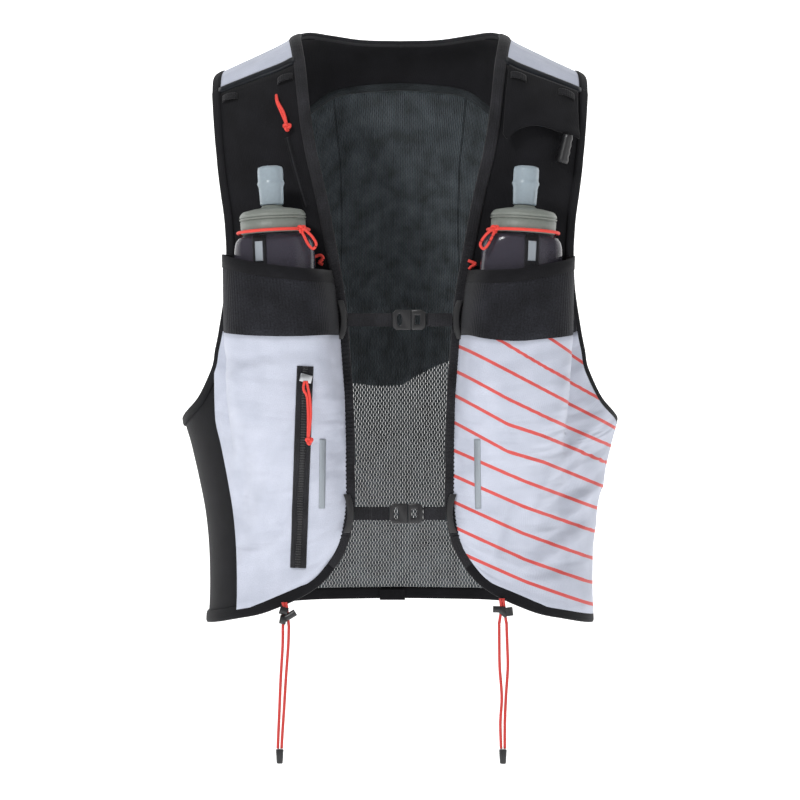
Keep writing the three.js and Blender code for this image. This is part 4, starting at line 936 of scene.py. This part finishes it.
def make_net(name, grid, share_from, share_to):
    """Strands down a sheet, each a zigzag that meets its neighbours by turns, so that the
    gaps between them are staggered hexagons. Each strand has a three-sided section."""
    points, out = laid_out(grid)
    count = int(NET_WIDTH * (share_to - share_from) / (NET_PITCH / 2))
    steps = int(NET_HEIGHT / NET_PERIOD) * 4
    strand = np.arange(count + 1)[:, None, None]
    step = np.arange(steps + 1)[None, :, None]
    spacing = (share_to - share_from) / count
    touching = np.array([1, 1, -1, -1])[(step + 2 * (strand % 2)) % 4]
    reach = 0.5 * spacing - 0.5 * STRAND_WIDTH / NET_WIDTH
    middle = share_from + strand * spacing + touching * reach * STRAND_REACH
    u = middle + np.array([-0.5, 0.5, 0.0]) * STRAND_WIDTH / NET_WIDTH
    v = np.broadcast_to(step / steps, u.shape)
    depth = np.array([0, 0, STRAND_THICK])[:, None]
    body = grid_at(points, u, v) - grid_at(out, u, v) * (0.1 + depth)
    index = np.arange(body[..., 0].size).reshape(body.shape[:3])
    quads = [strips(index[..., a].T, index[..., (a + 1) % 3].T) for a in range(3)]
    uv = np.stack([u * NET_WIDTH, v * NET_HEIGHT], axis=-1).reshape(-1, 2)
    flat = body.reshape(-1, 3)
    piece = make_mesh(name, flat, outward(flat, np.concatenate(quads)), NET, uv)
    return finish_piece(piece, "back_net")


net_parts = [make_net(f"net_{i}", net_grid, i / 3, (i + 1) / 3) for i in range(3)]
layer_top = aside(arch, -PIPING / 2 + 1)
layer_top = layer_top[np.abs(skin(layer_top)[:, 0]) < LAYER_HALF_OUT * SHOULDER_HALF]
layer_out = skin(layer_top)[:, 0] / SHOULDER_HALF
layer_shares = zip(layer_out, column(BACK_LAYER_EDGE, 1, layer_out))
layer_foot = np.array(from_shares(layer_shares, SHOULDER_HALF, BODY_LENGTH, True))
ends = (np.stack([layer_top[k], layer_foot[k]]) for k in (0, -1))
layer = patch(layer_top, layer_foot, *ends, 80, 60)
edge_roll = np.clip((np.arange(61) - 56) / 4, 0, 1)[:, None, None] * 0.5
over = BACK_POCKET_AIR + CLOTH + edge_roll
sheet("inner_layer", layer, over, BACK_POCKET_AIR, JERSEY, "back_pocket")
print("net quads", [len(part.data.polygons) for part in net_parts])

# %% [markdown]
# ## Soft flasks
# Each stands along the chest in its holster with its head leaning outwards. The body is a
# filled film bag, the cap and the bite valve are turned shapes, and a cord rings the neck.

# %%
FLASK_BODY = np.array([
    (0.0, 0.3, 0.15), (0.015, 0.6, 0.45), (0.03, 0.72, 0.6), (0.12, 0.86, 0.9),
    (0.3, 1.0, 1.0), (0.8, 1.0, 0.98),
    (0.91, 0.99, 0.95), (0.95, 0.965, 0.93), (0.975, 0.91, 0.92), (0.99, 0.83, 0.9),
    (1.0, 0.7, 0.88),
])
CAP_PROFILE = [
    (0, 0), (0.94, 0), (0.96, 0.03), (0.975, 0.44), (0.94, 0.455), (0.94, 0.48), (0.995, 0.495),
    (1, 0.53), (0.955, 0.545), (0.955, 0.57), (0.99, 0.585), (0.98, 0.65), (0.93, 0.74), (0.87, 0.79),
    (0.6, 0.86), (0.42, 0.89), (0.35, 0.91), (0.31, 0.95), (0.3, 1), (0, 1),
]
VALVE_PROFILE = [
    (0, 0), (0.84, 0), (0.86, 0.02), (0.88, 0.2), (0.9, 0.42), (0.95, 0.49), (1, 0.53), (1, 0.56),
    (0.945, 0.6), (0.93, 0.63), (0.94, 0.75), (0.93, 0.9), (0.88, 0.965), (0.6, 1), (0.3, 1),
    (0.24, 0.95), (0, 0.95),
]
CAP_HEIGHT = 21
VALVE_RADIUS = 10.2
VALVE_HEIGHT = 29
KNURL, KNURL_COUNT, KNURL_TOP = 0.006, 40, 0.4
FILM_POWER = 0.9
RING_RADIUS = CAP_RADIUS + GAP + FLASK_CORD / 2


def circle(count):
    """The angles of a full turn."""
    return np.arange(count) / count * 2 * np.pi


def lathe(profile, sides=64):
    """Rings of points turned from (radius, height) pairs."""
    angle = circle(sides)
    radius, height = np.array(profile, float).T[..., None]
    x, y = radius * np.cos(angle), radius * np.sin(angle)
    return np.stack([x, y, np.broadcast_to(height, x.shape)], axis=-1)


def knurled(rings):
    """Fine ribs round the lower part of a turned cap."""
    ribs = 1 + KNURL * np.sign(np.sin(circle(rings.shape[1]) * KNURL_COUNT))
    inside = (rings[..., 2] > 0.01) & (rings[..., 2] < KNURL_TOP)
    scale = np.where(inside, ribs, 1.0)[..., None]
    return np.concatenate([rings[..., :2] * scale, rings[..., 2:]], axis=-1)


def ring_mesh(name, rings, material, *nodes, closed=False):
    """A piece through rings of points, each ring closed on itself."""
    count, sides = rings.shape[:2]
    index = np.arange(count * sides).reshape(count, sides)
    if closed:
        index = np.concatenate([index, index[:1]])
    quads = strips(index, np.roll(index, -1, axis=1))
    points = rings.reshape(-1, 3)
    along = np.repeat(np.arange(count), sides) * 1.0
    uv = np.stack([np.tile(np.arange(sides), count) * 1.5, along], axis=-1)
    piece = make_mesh(name, points, outward(points, quads), material, uv)
    bm = bmesh.new()
    bm.from_mesh(piece.data)
    bmesh.ops.remove_doubles(bm, verts=bm.verts, dist=0.02 * MM)
    bm.to_mesh(piece.data)
    bm.free()
    return finish_piece(piece, *nodes)


def tube(name, centres, radius, material, *nodes, sides=12, closed=False):
    """A round tube along a smooth line of centres, closed at its ends or joined up."""
    tangent = unit(np.gradient(centres, axis=0))
    if closed:
        tangent = unit(np.roll(centres, -1, 0) - np.roll(centres, 1, 0))
    helper = np.where(np.abs(tangent[:, 2:]) > 0.9, np.eye(3)[0], np.eye(3)[2])
    first = unit(np.cross(tangent, helper))
    second = np.cross(tangent, first)
    c, s = np.cos(circle(sides))[:, None], np.sin(circle(sides))[:, None]
    ring = first[:, None] * c + second[:, None] * s
    size = np.full(len(centres), float(radius))
    if not closed:
        ends = [0, *range(len(centres)), len(centres) - 1]
        centres, ring, size = centres[ends], ring[ends], size[ends]
        size[0] = size[-1] = 0
    rings = centres[:, None] + ring * size[:, None, None]
    return ring_mesh(name, rings, material, *nodes, closed=closed)


def place_flat(x, z):
    return skin(np.array(place_at(x, z)))


def stand(name, points):
    """Points given from a flask's neck up, set where the flask stands."""
    axes, head = heads[name]
    return points @ axes + head


heads = {}
for name, side in SIDES.items():
    out = facing(side)
    foot_z = -(FLASK_TOP + FLASK_LENGTH)
    low_end = place_flat(side * flask_line(name, foot_z), foot_z)
    low_end = low_end + out * (FLASK_DEEP + FLASK_SEAT)
    high_end = place_flat(side * FLASK_OUT[name], -FLASK_TOP)
    high_end = high_end + out * (CAP_RADIUS + FLASK_CORD + HEAD_SEAT)
    up = unit(high_end - low_end)
    back = -unit(out - up * (out @ up))
    heads[name] = np.stack([unit(np.cross(back, up)), back, up]), high_end

    share = np.linspace(0, 1, 60)
    angle = circle(72)
    c, s = (np.sign(wave) * np.abs(wave) ** FILM_POWER for wave in (np.cos(angle), np.sin(angle)))
    wide = column(FLASK_BODY, 1, share)[:, None] * FLASK_HALF * c
    deep = column(FLASK_BODY, 2, share)[:, None] * FLASK_DEEP * s
    dents = np.sin(angle * 3 + share[:, None] * 17) + np.sin(angle * 5 - share[:, None] * 29)
    dents = 1 - 0.02 * dents * np.sin(np.minimum(share * 1.1, 1) * np.pi)[:, None]
    tall = np.broadcast_to(((share - 1) * FLASK_LENGTH)[:, None], wide.shape)
    rings = np.stack([wide * dents, deep * dents, tall], axis=-1)
    foot, head = rings[:1], rings[-1:]
    rings = [foot * (0, 0, 1), rings, head * (0.5, 0.5, 1), head * (0, 0, 1)]
    rings = stand(name, np.concatenate(rings))
    ring_mesh(f"film_{name}", rings, FILM, f"flask_{name}")

    cap = knurled(lathe(CAP_PROFILE, 120)) * (CAP_RADIUS, CAP_RADIUS, CAP_HEIGHT)
    cap = stand(name, cap + [0, 0, GAP])
    ring_mesh(f"screw_cap_{name}", cap, CAP_PLASTIC, f"flask_cap_{name}")
    valve = lathe(VALVE_PROFILE) * (VALVE_RADIUS, VALVE_RADIUS, VALVE_HEIGHT)
    valve = stand(name, valve + [0, 0, 2 * GAP + CAP_HEIGHT])
    ring_mesh(f"valve_{name}", valve, SILICONE, f"bite_valve_{name}")
    turn = circle(96)
    loop = [RING_RADIUS * np.cos(turn), RING_RADIUS * np.sin(turn), np.full(96, FLASK_CORD * 0.7)]
    loop, node = stand(name, np.stack(loop, axis=-1)), f"flask_cord_{name}"
    tube(f"neck_cord_{name}", loop, FLASK_CORD / 2, RED_BRAID, node, closed=True)
print("flask heads", {name: head.round(1).tolist() for name, (_, head) in heads.items()})

# %% [markdown]
# ## Hard pieces
# Hooks, buckles, locks and tips keep the form of their solids, with their flat faces joined
# again and the edges rounded as a moulding's are.

# %%
LOCK_ROUND, LOCK_SHARP = 0.8, 30
MOULD_SHARP = 35
# each cord lock's y, then its barrels and its slanting lever: x and z of both ends, radius
LOCKS = {
    "right": (-92.4, [
        (-90.4, -412.6, -84.4, -414.4, 3.1),
        (-90.4, -419.6, -85.5, -420.6, 3.4),
        (-88, -420.2, -78.6, -414.6, 2.6),
    ]),
    "left": (-94.4, [
        (69.8, -412.2, 79, -412.4, 2.5),
        (81.2, -410.8, 82, -417.2, 3.3),
        (76, -412.6, 80.6, -416.6, 2.9),
    ]),
}


def round_edges(piece, radius, sharp):
    """Rounds the edges that turn by more than sharp degrees."""
    bevel = piece.modifiers.new("rounded", "BEVEL")
    bevel.width, bevel.segments = radius * MM, 3
    bevel.limit_method, bevel.angle_limit = "ANGLE", np.radians(sharp)


def moulded(node, radius, material=MOULDED):
    """A copy of a CAD solid with whole faces and rounded edges."""
    mesh = bpy.data.meshes.new(f"{node}_look")
    bm = bmesh.new()
    bm.from_mesh(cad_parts[node].data)
    bmesh.ops.remove_doubles(bm, verts=bm.verts, dist=0.01 * MM)
    bmesh.ops.dissolve_limit(bm, angle_limit=0.01, verts=bm.verts, edges=bm.edges)
    bm.to_mesh(mesh)
    bm.free()
    mesh.materials.clear()
    mesh.materials.append(material)
    mesh.polygons.foreach_set("use_smooth", np.ones(len(mesh.polygons), bool))
    piece = add_object(f"{node}_look", mesh)
    round_edges(piece, radius, MOULD_SHARP)
    return finish_piece(piece, node)


def coordinates(mesh):
    """Where the points of a mesh lie, in millimetres."""
    co = np.empty(len(mesh.vertices) * 3)
    mesh.vertices.foreach_get("co", co)
    return co.reshape(-1, 3) / MM


def web_uv(piece):
    """Gives a straight web its UV in millimetres, along X and Z."""
    mesh = piece.data
    loop = np.empty(len(mesh.loops), int)
    mesh.loops.foreach_get("vertex_index", loop)
    place = coordinates(mesh)[loop][:, [0, 2]]
    layer = mesh.uv_layers.new(name="millimetres") if not mesh.uv_layers else mesh.uv_layers[0]
    layer.data.foreach_set("uv", place.astype(np.float32).ravel())


for level in ("upper", "lower"):
    for side in SIDES:
        moulded(f"hook_{level}_{side}", 0.7)
        web_uv(moulded(f"webbing_{level}_{side}", 0.35, WEBBING))
    for half in ("female", "male"):
        moulded(f"buckle_{level}_{half}", 0.8)
tips = {side: moulded(f"cord_tip_{side}", 0.8) for side in SIDES}
moulded("whistle", 0.3)
moulded("zip_slider", 0.6, ZINC)
for side, (deep, barrels) in LOCKS.items():
    for i, (x0, z0, x1, z1, radius) in enumerate(barrels):
        share = (1 - np.cos(np.linspace(0, np.pi, 25))) / 2
        line = np.array([x0, deep, z0]) + np.array([x1 - x0, 0, z1 - z0]) * share[:, None]
        nodes = [] if i else [f"cord_lock_{side}"]
        barrel = tube(f"lock_{side}_{i}", line, radius, MOULDED, *nodes, sides=28)
        round_edges(barrel, LOCK_ROUND, LOCK_SHARP)
print("hard pieces rounded")

# %% [markdown]
# ## Trim on the pockets
# The zip, the reflective strips and the printed stripes lie on the white cloth. Each is
# given by its line as seen from the front, in millimetres, and laid on the pocket's face.

# %%
STRIP_AIR = 0.1
ZIP_TOP, ZIP_FOOT = (-70, -230), (-76.5, -381)
ZIP_WIDTH, ZIP_HIGH = 12, 1.5
STRIP_OUT, STRIP_TOP, STRIP_LENGTH, STRIP_WIDTH = 57.5, 284, 52, 4.5
STRIP_HIGH = 0.7
TOOTH_PITCH, TOOTH_WIDTH, TOOTH_FINE = 1.9, 3.6, 4
TOOTH_FOOT, TOOTH_LOW, TOOTH_RISE = 1.2, 1.4, 0.7


def taken(table, rows):
    """One value from each column of a table, at its own row."""
    return np.take_along_axis(table, rows[None], 0)[0]


def on_pocket(name, x, z):
    """Points of the pocket's face that have this x and z."""
    rows = [row[np.argsort(row[:, 0])] for row in pockets[name]]
    ys, zs = (np.stack([np.interp(x, row[:, 0], row[:, k]) for row in rows]) for k in (1, 2))
    i = np.clip((zs > z).sum(0) - 1, 0, len(zs) - 2)
    share = (taken(zs, i) - z) / (taken(zs, i) - taken(zs, i + 1))
    y = taken(ys, i) + (taken(ys, i + 1) - taken(ys, i)) * np.clip(share, 0, 1)
    return np.stack([x, y, z], axis=-1)


def laid_strip(name, pocket, ends, width, over, under, material, *nodes):
    """A thin strip on a pocket, between two heights above its cloth. Its ends are given as
    seen from the front, and the heights by the rows and columns of the strip."""
    count, columns = over.shape[0], over.shape[1] - 1
    start, end = np.array(ends, float)
    centre = start + (end - start) * np.linspace(0, 1, count)[:, None]
    tangent = unit(np.gradient(centre, axis=0))
    across = np.stack([tangent[:, 1], -tangent[:, 0]], axis=-1)
    offset = np.linspace(-0.5, 0.5, columns + 1)[None, :, None] * width
    x, z = (centre[:, None] + across[:, None] * offset).reshape(-1, 2).T
    right = on_pocket(pocket, x + 1, z) - on_pocket(pocket, x - 1, z)
    up = on_pocket(pocket, x, z + 1) - on_pocket(pocket, x, z - 1)
    out = unit(np.cross(right, up)).reshape(count, -1, 3)
    points = on_pocket(pocket, x, z).reshape(count, -1, 3)
    return wall(name, points + out * over, points + out * under, material, *nodes)


def cushion(count, columns, power, high):
    """Heights of a strip that is highest along its middle."""
    fold = folded(columns, power)[None, :, None]
    return np.repeat(STRIP_AIR + (high - STRIP_AIR) * (0.35 + 0.65 * fold), count, axis=0)


zip_line = [ZIP_TOP, ZIP_FOOT]
height = cushion(120, 10, 6, ZIP_HIGH)
laid_strip("zip_cloth", "right", zip_line, ZIP_WIDTH, height, STRIP_AIR, WEBBING, "zip_tape")
for name, side in SIDES.items():
    line = [(side * STRIP_OUT, -STRIP_TOP), (side * (STRIP_OUT + 1), -STRIP_TOP - STRIP_LENGTH)]
    height, label = cushion(40, 6, 4, STRIP_HIGH), f"bead_tape_{name}"
    node = f"reflective_strip_{name}"
    laid_strip(label, name, line, STRIP_WIDTH, height, STRIP_AIR, REFLECTIVE, node)
tooth_count = int((ZIP_TOP[1] - ZIP_FOOT[1]) / TOOTH_PITCH)
rows = np.arange(TOOTH_FINE * tooth_count)[:, None, None]
height = TOOTH_LOW + TOOTH_RISE * (rows % TOOTH_FINE < TOOTH_FINE / 2) * np.ones((1, 3, 1))
laid_strip("zip_coil", "right", zip_line, TOOTH_WIDTH, height, TOOTH_FOOT, MOULDED)

# Stripes printed on the left pocket: x and z of chosen points, from the top stripe down
STRIPES = [
    [(106, -206), (137, -226)],
    [(72, -210), (108, -231), (142, -249)],
    [(48, -217), (74, -230.3), (114.4, -251.3), (152, -270)],
    [(47, -236.3), (79.9, -254.3), (109.9, -268.5), (149, -285)],
    [(46, -254.3), (79.9, -273), (105.4, -281.3), (147, -298)],
    [(45.5, -274.5), (79.9, -293.3), (107.6, -301.5), (144, -316.5)],
    [(45, -294.8), (94, -316), (141, -334)],
    [(44.5, -313.5), (92, -334.5), (140, -352)],
    [(45.5, -333.8), (92, -355), (139, -373)],
    [(48.5, -354), (94, -375), (138, -391.5)],
    [(54, -373.5), (95, -392), (130, -405)],
]
STRIPE_WIDTH = 2.7
STRIPE_RED = "#cb5350"


def stripe_height(line, x):
    """Height of a stripe over x, carried on past its ends at its end slopes."""
    line = np.array(line, float)
    slope = np.diff(line[:, 1]) / np.diff(line[:, 0])
    inside = np.interp(x, line[:, 0], line[:, 1])
    before = np.minimum(x - line[0, 0], 0) * slope[0]
    after = np.maximum(x - line[-1, 0], 0) * slope[-1]
    return inside + before + after


def add_stripes(piece):
    """Two attributes of the cloth: its place among the stripes, counted down from the top
    one, and the distance between the two stripes next to it."""
    mesh = piece.data
    x, _, z = coordinates(mesh).T
    heights = np.stack([stripe_height(line, x) for line in STRIPES])
    above, below = (2 * heights[[k]] - heights[[n]] for k, n in ((0, 1), (-1, -2)))
    heights = np.concatenate([above, heights, below])
    i = np.clip((heights > z).sum(0) - 1, 0, len(heights) - 2)
    upper, lower = taken(heights, i), taken(heights, i + 1)
    place = np.clip(i + (upper - z) / (upper - lower), 0.5, len(STRIPES) + 0.5)
    for label, value in (("stripe_place", place), ("stripe_gap", upper - lower)):
        layer = mesh.attributes.new(label, "FLOAT", "POINT")
        layer.data.foreach_set("value", value.astype(np.float32))


def striped(base):
    """The ripstop with the red stripes printed on it."""
    material = base.copy()
    material.name = "striped_ripstop_polyester"
    tree = material.node_tree
    shader = tree.nodes["Principled BSDF"]
    plain = shader.inputs["Base Color"].links[0].from_socket
    place, gap = (add_node(tree, "ShaderNodeAttribute") for _ in range(2))
    place.attribute_name, gap.attribute_name = "stripe_place", "stripe_gap"
    place, gap = place.outputs["Fac"], gap.outputs["Fac"]
    off = calculate(tree, "SUBTRACT", place, calculate(tree, "ROUND", place))
    away = calculate(tree, "MULTIPLY", calculate(tree, "ABSOLUTE", off), gap)
    ink = calculate(tree, "LESS_THAN", away)
    ink.node.inputs[1].default_value = STRIPE_WIDTH / 2
    mix = add_node(tree, "ShaderNodeMix")
    mix.data_type = "RGBA"
    mix.inputs[7].default_value = linear(STRIPE_RED)
    tree.links.new(ink, mix.inputs[0])
    tree.links.new(plain, mix.inputs[6])
    tree.links.new(mix.outputs[2], shader.inputs["Base Color"])
    return material


left_pocket = bpy.data.objects["pocket_left"]
add_stripes(left_pocket)
left_pocket.data.materials[0] = striped(RIPSTOP)
print("stripes", len(STRIPES), "zip teeth", tooth_count)

# %% [markdown]
# ## Shoulder flap, hem tab, elastic loops and chest zip
# The flap stands off the chest at its lower edge. The zip on the other side runs down from
# the shoulder band to the holster, and small loops stand under both bands.

# %%
FLAP_CLOTH = 1.5
FLAP_LIFT = 7
FLAP_HEM, HEM_FROM, HEM_FADE = 0.45, 0.86, 0.03
FLAP_EDGE = np.array([
    (0.53, 0.131), (0.55, 0.139), (0.6, 0.125), (0.66, 0.118), (0.715, 0.117),
    (0.775, 0.122), (0.82, 0.127), (0.875, 0.129), (0.915, 0.137),
])
TAB_TOP, TAB_HEIGHT, TAB_WIDTH, TAB_MIDDLE = 403.5, 9, 20, -6
TRIM_AIR = 0.95
# elastic loops sewn under the satin bands: two ends on the chest, in x and z
LOOPS = {
    "right": [((-134.2, -25), (-123, -22.5)), ((-92.2, -12.5), (-81.2, -8.5))],
    "left": [((83, -8.6), (94.5, -12.2)), ((119, -20.4), (130.6, -25))],
}
LOOP_TALL = 4.4
LOOP_AIR = {"right": 1.0, "left": 3.2}  # over the chest, and over the flap
LOOP_LIFT = 2.4
LOOP_CLOTH = 0.9
CHEST_ZIP = [(-85, -57), (-78, -84), (-70.5, -110)]


def places_on(route):
    """The places on the chest that have each x and z of a route."""
    return np.array([place_at(x, z) for x, z in route])


flap_out = np.interp(np.linspace(0, 8, 65), np.arange(9), FLAP_EDGE[:, 0])
flap_shares = zip(flap_out, spline(FLAP_EDGE, 65)[:, 1])
flap_low = np.array(from_shares(flap_shares, SHOULDER_HALF, BODY_LENGTH))
flap_from = np.linspace(neck_side(-BAND_TOP) + TUCK, arm_side(-BAND_TOP) - TUCK, 65)
flap_high = np.array([place_over(x, -band_bottom) for x in flap_from])
share = np.linspace(0, 1, 25)[:, None, None]
under = POCKET_AIR + FLAP_LIFT * share**1.5
hem_fold = FLAP_HEM * np.clip((share - HEM_FROM) / HEM_FADE, 0, 1)
over = under + FLAP_CLOTH - FLAP_HEM + hem_fold
flap = flap_high[None] * (1 - share) + flap_low[None] * share
sheet("flap_cloth", flap, over, under, JERSEY, "shoulder_flap")

tab = np.array([
    [place_at(TAB_MIDDLE + u * TAB_WIDTH, z, True) for u in np.linspace(-0.5, 0.5, 13)]
    for z in np.linspace(-TAB_TOP, -TAB_TOP - TAB_HEIGHT, 7)
])
depth = BINDING_IN + TRIM_AIR
sheet("tab_cloth", tab, -depth, -depth - CLOTH, JERSEY, "hem_tab")

for name, pairs in LOOPS.items():
    for i, (start, end) in enumerate(np.array(pairs)):
        along = np.linspace(0, 1, 17)[:, None]
        top = start + (end - start) * along
        grid = np.array([places_on(top - (0, down)) for down in np.linspace(0, LOOP_TALL, 7)])
        rise = LOOP_AIR[name] + LOOP_LIFT * np.sin(along * np.pi) ** 0.5
        sheet(f"loop_{name}_{i}", grid, rise + LOOP_CLOTH, rise, WEBBING)

zip_places = places_on(spline(CHEST_ZIP, 60))
for label, width, height, material in (("tape", 4.5, 0.6, JERSEY), ("coil", 1.6, 1.1, WEBBING)):
    grid = band(aside(zip_places, -width / 2), aside(zip_places, width / 2), 6)
    over = 0.1 + height * folded(6, 3)[None, :, None]
    sheet(f"chest_zip_{label}", grid, over, 0.02, material)
print("flap and seams made")

# %% [markdown]
# ## Cords
# The drawcords hang from their locks. Their routes are chosen points, in metres. Short red
# cords pull the zips and tie round the flask necks.

# %%
DRAWCORD = 0.0022
TETHER_LIFT = 4.5
HEM_TOPS = {"right": (-86.2, -407), "left": (77.2, -404)}  # x and z where the cords leave the hem
KNOT_TURN = np.radians(28)
NECK_TAIL = np.array([
    (0, 0, 0), (4, -2.5, -1), (9, -2.5, -6), (12, -2, -12), (9.5, -2, -15.5),
    (6, -2, -12), (3, -2.5, -5), (1, -1, -1),
])
# on the front of a flask: label, width, top, foot, height over the film, material
FLASK_TRIM = (
    ("strap", 10.5, -1.5, -44, 0.3, WEBBING),
    ("tab", 6.0, -6, -21, 1.1, REFLECTIVE),
)
TRIM_OUT = {"right": 7.0, "left": 2.8}
ZIP_PULL = np.array([
    (-1, 0, 0), (-1.6, -1, -6), (1, -1, -12), (1.8, -1, -26), (1.8, -1, -42),
    (3.6, -1, -27), (3.2, -1, -14), (2, -1, -7), (0.6, 0, 0),
])
# x, z and height over the chest
CHEST_PULL = np.array([
    (-93, -25, 2), (-92, -31, 3.5), (-88.5, -39, 4), (-84.5, -48, 4),
    (-86, -40, 6), (-90.5, -32, 5.5), (-92.5, -26, 3),
])
TETHERS = {
    "right": [(-64, -148.5), (-59, -147), (-57, -149.5), (-60, -152.5), (-57.2, -154)],
    "left": [(50.5, -151), (56, -153.5), (53, -155.5), (51, -157.5)],
}
# heights of the points that a side's cords pass, then each cord's x and y at them
CORD_HEIGHTS = {
    "right": (-0.4245, -0.44, -0.462, -0.488, -0.506, -0.517),
    "left": (-0.422, -0.44, -0.456, -0.478, -0.497, -0.517),
}
DRAWCORDS = {
    "drawcord_right_a": (
        (-0.088, -0.0882, -0.0895, -0.0906, -0.0914, -0.0918),
        (-0.092, -0.0932, -0.0934, -0.0934, -0.0933, -0.0932),
    ),
    "drawcord_right_b": (
        (-0.0835, -0.084, -0.0856, -0.0872, -0.0884, -0.089),
        (-0.092, -0.0928, -0.0926, -0.0927, -0.0928, -0.0932),
    ),
    "drawcord_left_a": (
        (0.0745, 0.0746, 0.0749, 0.0764, 0.0754, 0.0759),
        (-0.094, -0.0952, -0.0954, -0.0964, -0.0954, -0.095),
    ),
    "drawcord_left_b": (
        (0.08, 0.0806, 0.081, 0.0796, 0.0788, 0.0787),
        (-0.094, -0.0948, -0.0944, -0.0936, -0.0944, -0.095),
    ),
}
cord_radius = DRAWCORD / 2 / MM
starts = {}
for node, (xs, ys) in DRAWCORDS.items():
    side = node.split("_")[1]
    route = list(zip(xs, ys, CORD_HEIGHTS[side]))
    centres = spline(route, 60)
    cord = tube(f"{node}_braid", centres / MM, cord_radius, DARK_RED_BRAID, node)
    starts[node] = side, np.array(route[0]) / MM
# above its lock each strand runs up into the hem
for node, (side, (x, y, z)) in starts.items():
    centre, top = HEM_TOPS[side]
    near = centre + (1.15 if x > centre else -1.15)
    line = [(near - 0.8, y, top), (near, y, -411), ((near + x) / 2, y, -418), (x, y, z - 1)]
    tube(f"hem_{node}", spline(line, 24), cord_radius, DARK_RED_BRAID)


def knot(name, centre, radius, thick):
    """An overhand knot pulled small: a trefoil of cord."""
    t = circle(60)
    x = np.sin(t) + 2 * np.sin(2 * t)
    y = np.cos(t) - 2 * np.cos(2 * t)
    trefoil = np.stack([x, -np.sin(3 * t), y], axis=-1) * radius / 3
    tube(name, trefoil + centre, thick, RED_BRAID, closed=True)


def above(route, height):
    """Points so far over the chest at each x and z of a route."""
    points, out = laid_out(places_on(route))
    return points + out * height


for name, side in SIDES.items():
    across, cord = -side * RING_RADIUS * np.cos(KNOT_TURN), -RING_RADIUS * np.sin(KNOT_TURN)
    tie = np.array([across, cord, FLASK_CORD * 0.6])
    knot(f"neck_knot_{name}", stand(name, tie + [-side * 1.5, -1.5, 0]), 2.6, 1.1)
    tail = stand(name, tie + NECK_TAIL * (-side, 1, 1))
    tube(f"neck_tail_{name}", spline(tail, 60), 1.05, RED_BRAID)
    for label, width, top, foot, lift, material in FLASK_TRIM:
        xs = side * TRIM_OUT[name] + np.linspace(-0.5, 0.5, 9) * width
        zs = np.linspace(top, foot, 20)
        share = 1 + zs / FLASK_LENGTH
        wide = column(FLASK_BODY, 1, share)[:, None] * FLASK_HALF
        deep = column(FLASK_BODY, 2, share)[:, None] * FLASK_DEEP
        c = np.minimum(np.abs(xs)[None] / wide, 0.98) ** (1 / FILM_POWER)
        face = -deep * np.sqrt(1 - c**2) ** FILM_POWER - lift
        inner = np.stack(np.broadcast_arrays(xs, face, zs[:, None]), axis=-1)
        outer = inner - np.array([0, 0.8, 0])
        wall(f"flask_{label}_{name}", stand(name, outer), stand(name, inner), material)

slider_low, slider_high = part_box("zip_slider")
slider_x = (slider_low.x + slider_high.x) / 2 / MM
slider = np.array([[slider_x], [slider_low.z / MM + 2]])
pull_top = on_pocket("right", *slider)[0] + [0, -5, 0]
tube("zip_pull", spline(pull_top + ZIP_PULL, 80), 1.0, RED_BRAID)
knot("zip_pull_knot", pull_top + [2.6, -1, -44], 2.4, 1.0)
pull = above(CHEST_PULL[:, :2], CHEST_PULL[:, 2:])
tube("chest_zip_pull", spline(pull, 80), 1.0, RED_BRAID)
for name, route in TETHERS.items():
    line = spline(above(route, TETHER_LIFT), 40)
    tube(f"tether_{name}", line, FLASK_CORD / 2, RED_BRAID)
knot("chest_zip_knot", pull[3] + [0.5, -1.5, -2], 2.6, 1.1)
print("cords and knots made")

# %% [markdown]
# ## Stage
# A pale sweep far behind stands for the plain studio.

# %%
turn = np.linspace(0, np.pi / 2, 24)
profile = np.concatenate([
    [(STAGE_FRONT, FLOOR_HEIGHT)],
    np.stack([
        SWEEP_BACK - SWEEP_ROUND + SWEEP_ROUND * np.sin(turn),
        FLOOR_HEIGHT + SWEEP_ROUND - SWEEP_ROUND * np.cos(turn),
    ], axis=-1),
    [(SWEEP_BACK, STAGE_TOP)],
])
across = np.linspace(-STAGE_HALF, STAGE_HALF, 3)
sweep = np.stack(np.broadcast_arrays(across, profile[:, :1], profile[:, 1:]), axis=-1)
sweep = sweep.reshape(-1, 3)
index = np.arange(len(sweep)).reshape(-1, 3)
quads = strips(index[:, 1:], index[:, :-1])
paper = hard_material(
    "white_backdrop_paper", None, "#f6f6f6", 0.9, Emission_Color=(1, 1, 1, 1), Emission_Strength=0.8
)
backdrop = make_mesh("backdrop", sweep / MM, quads, paper, sweep[:, [0, 2]])
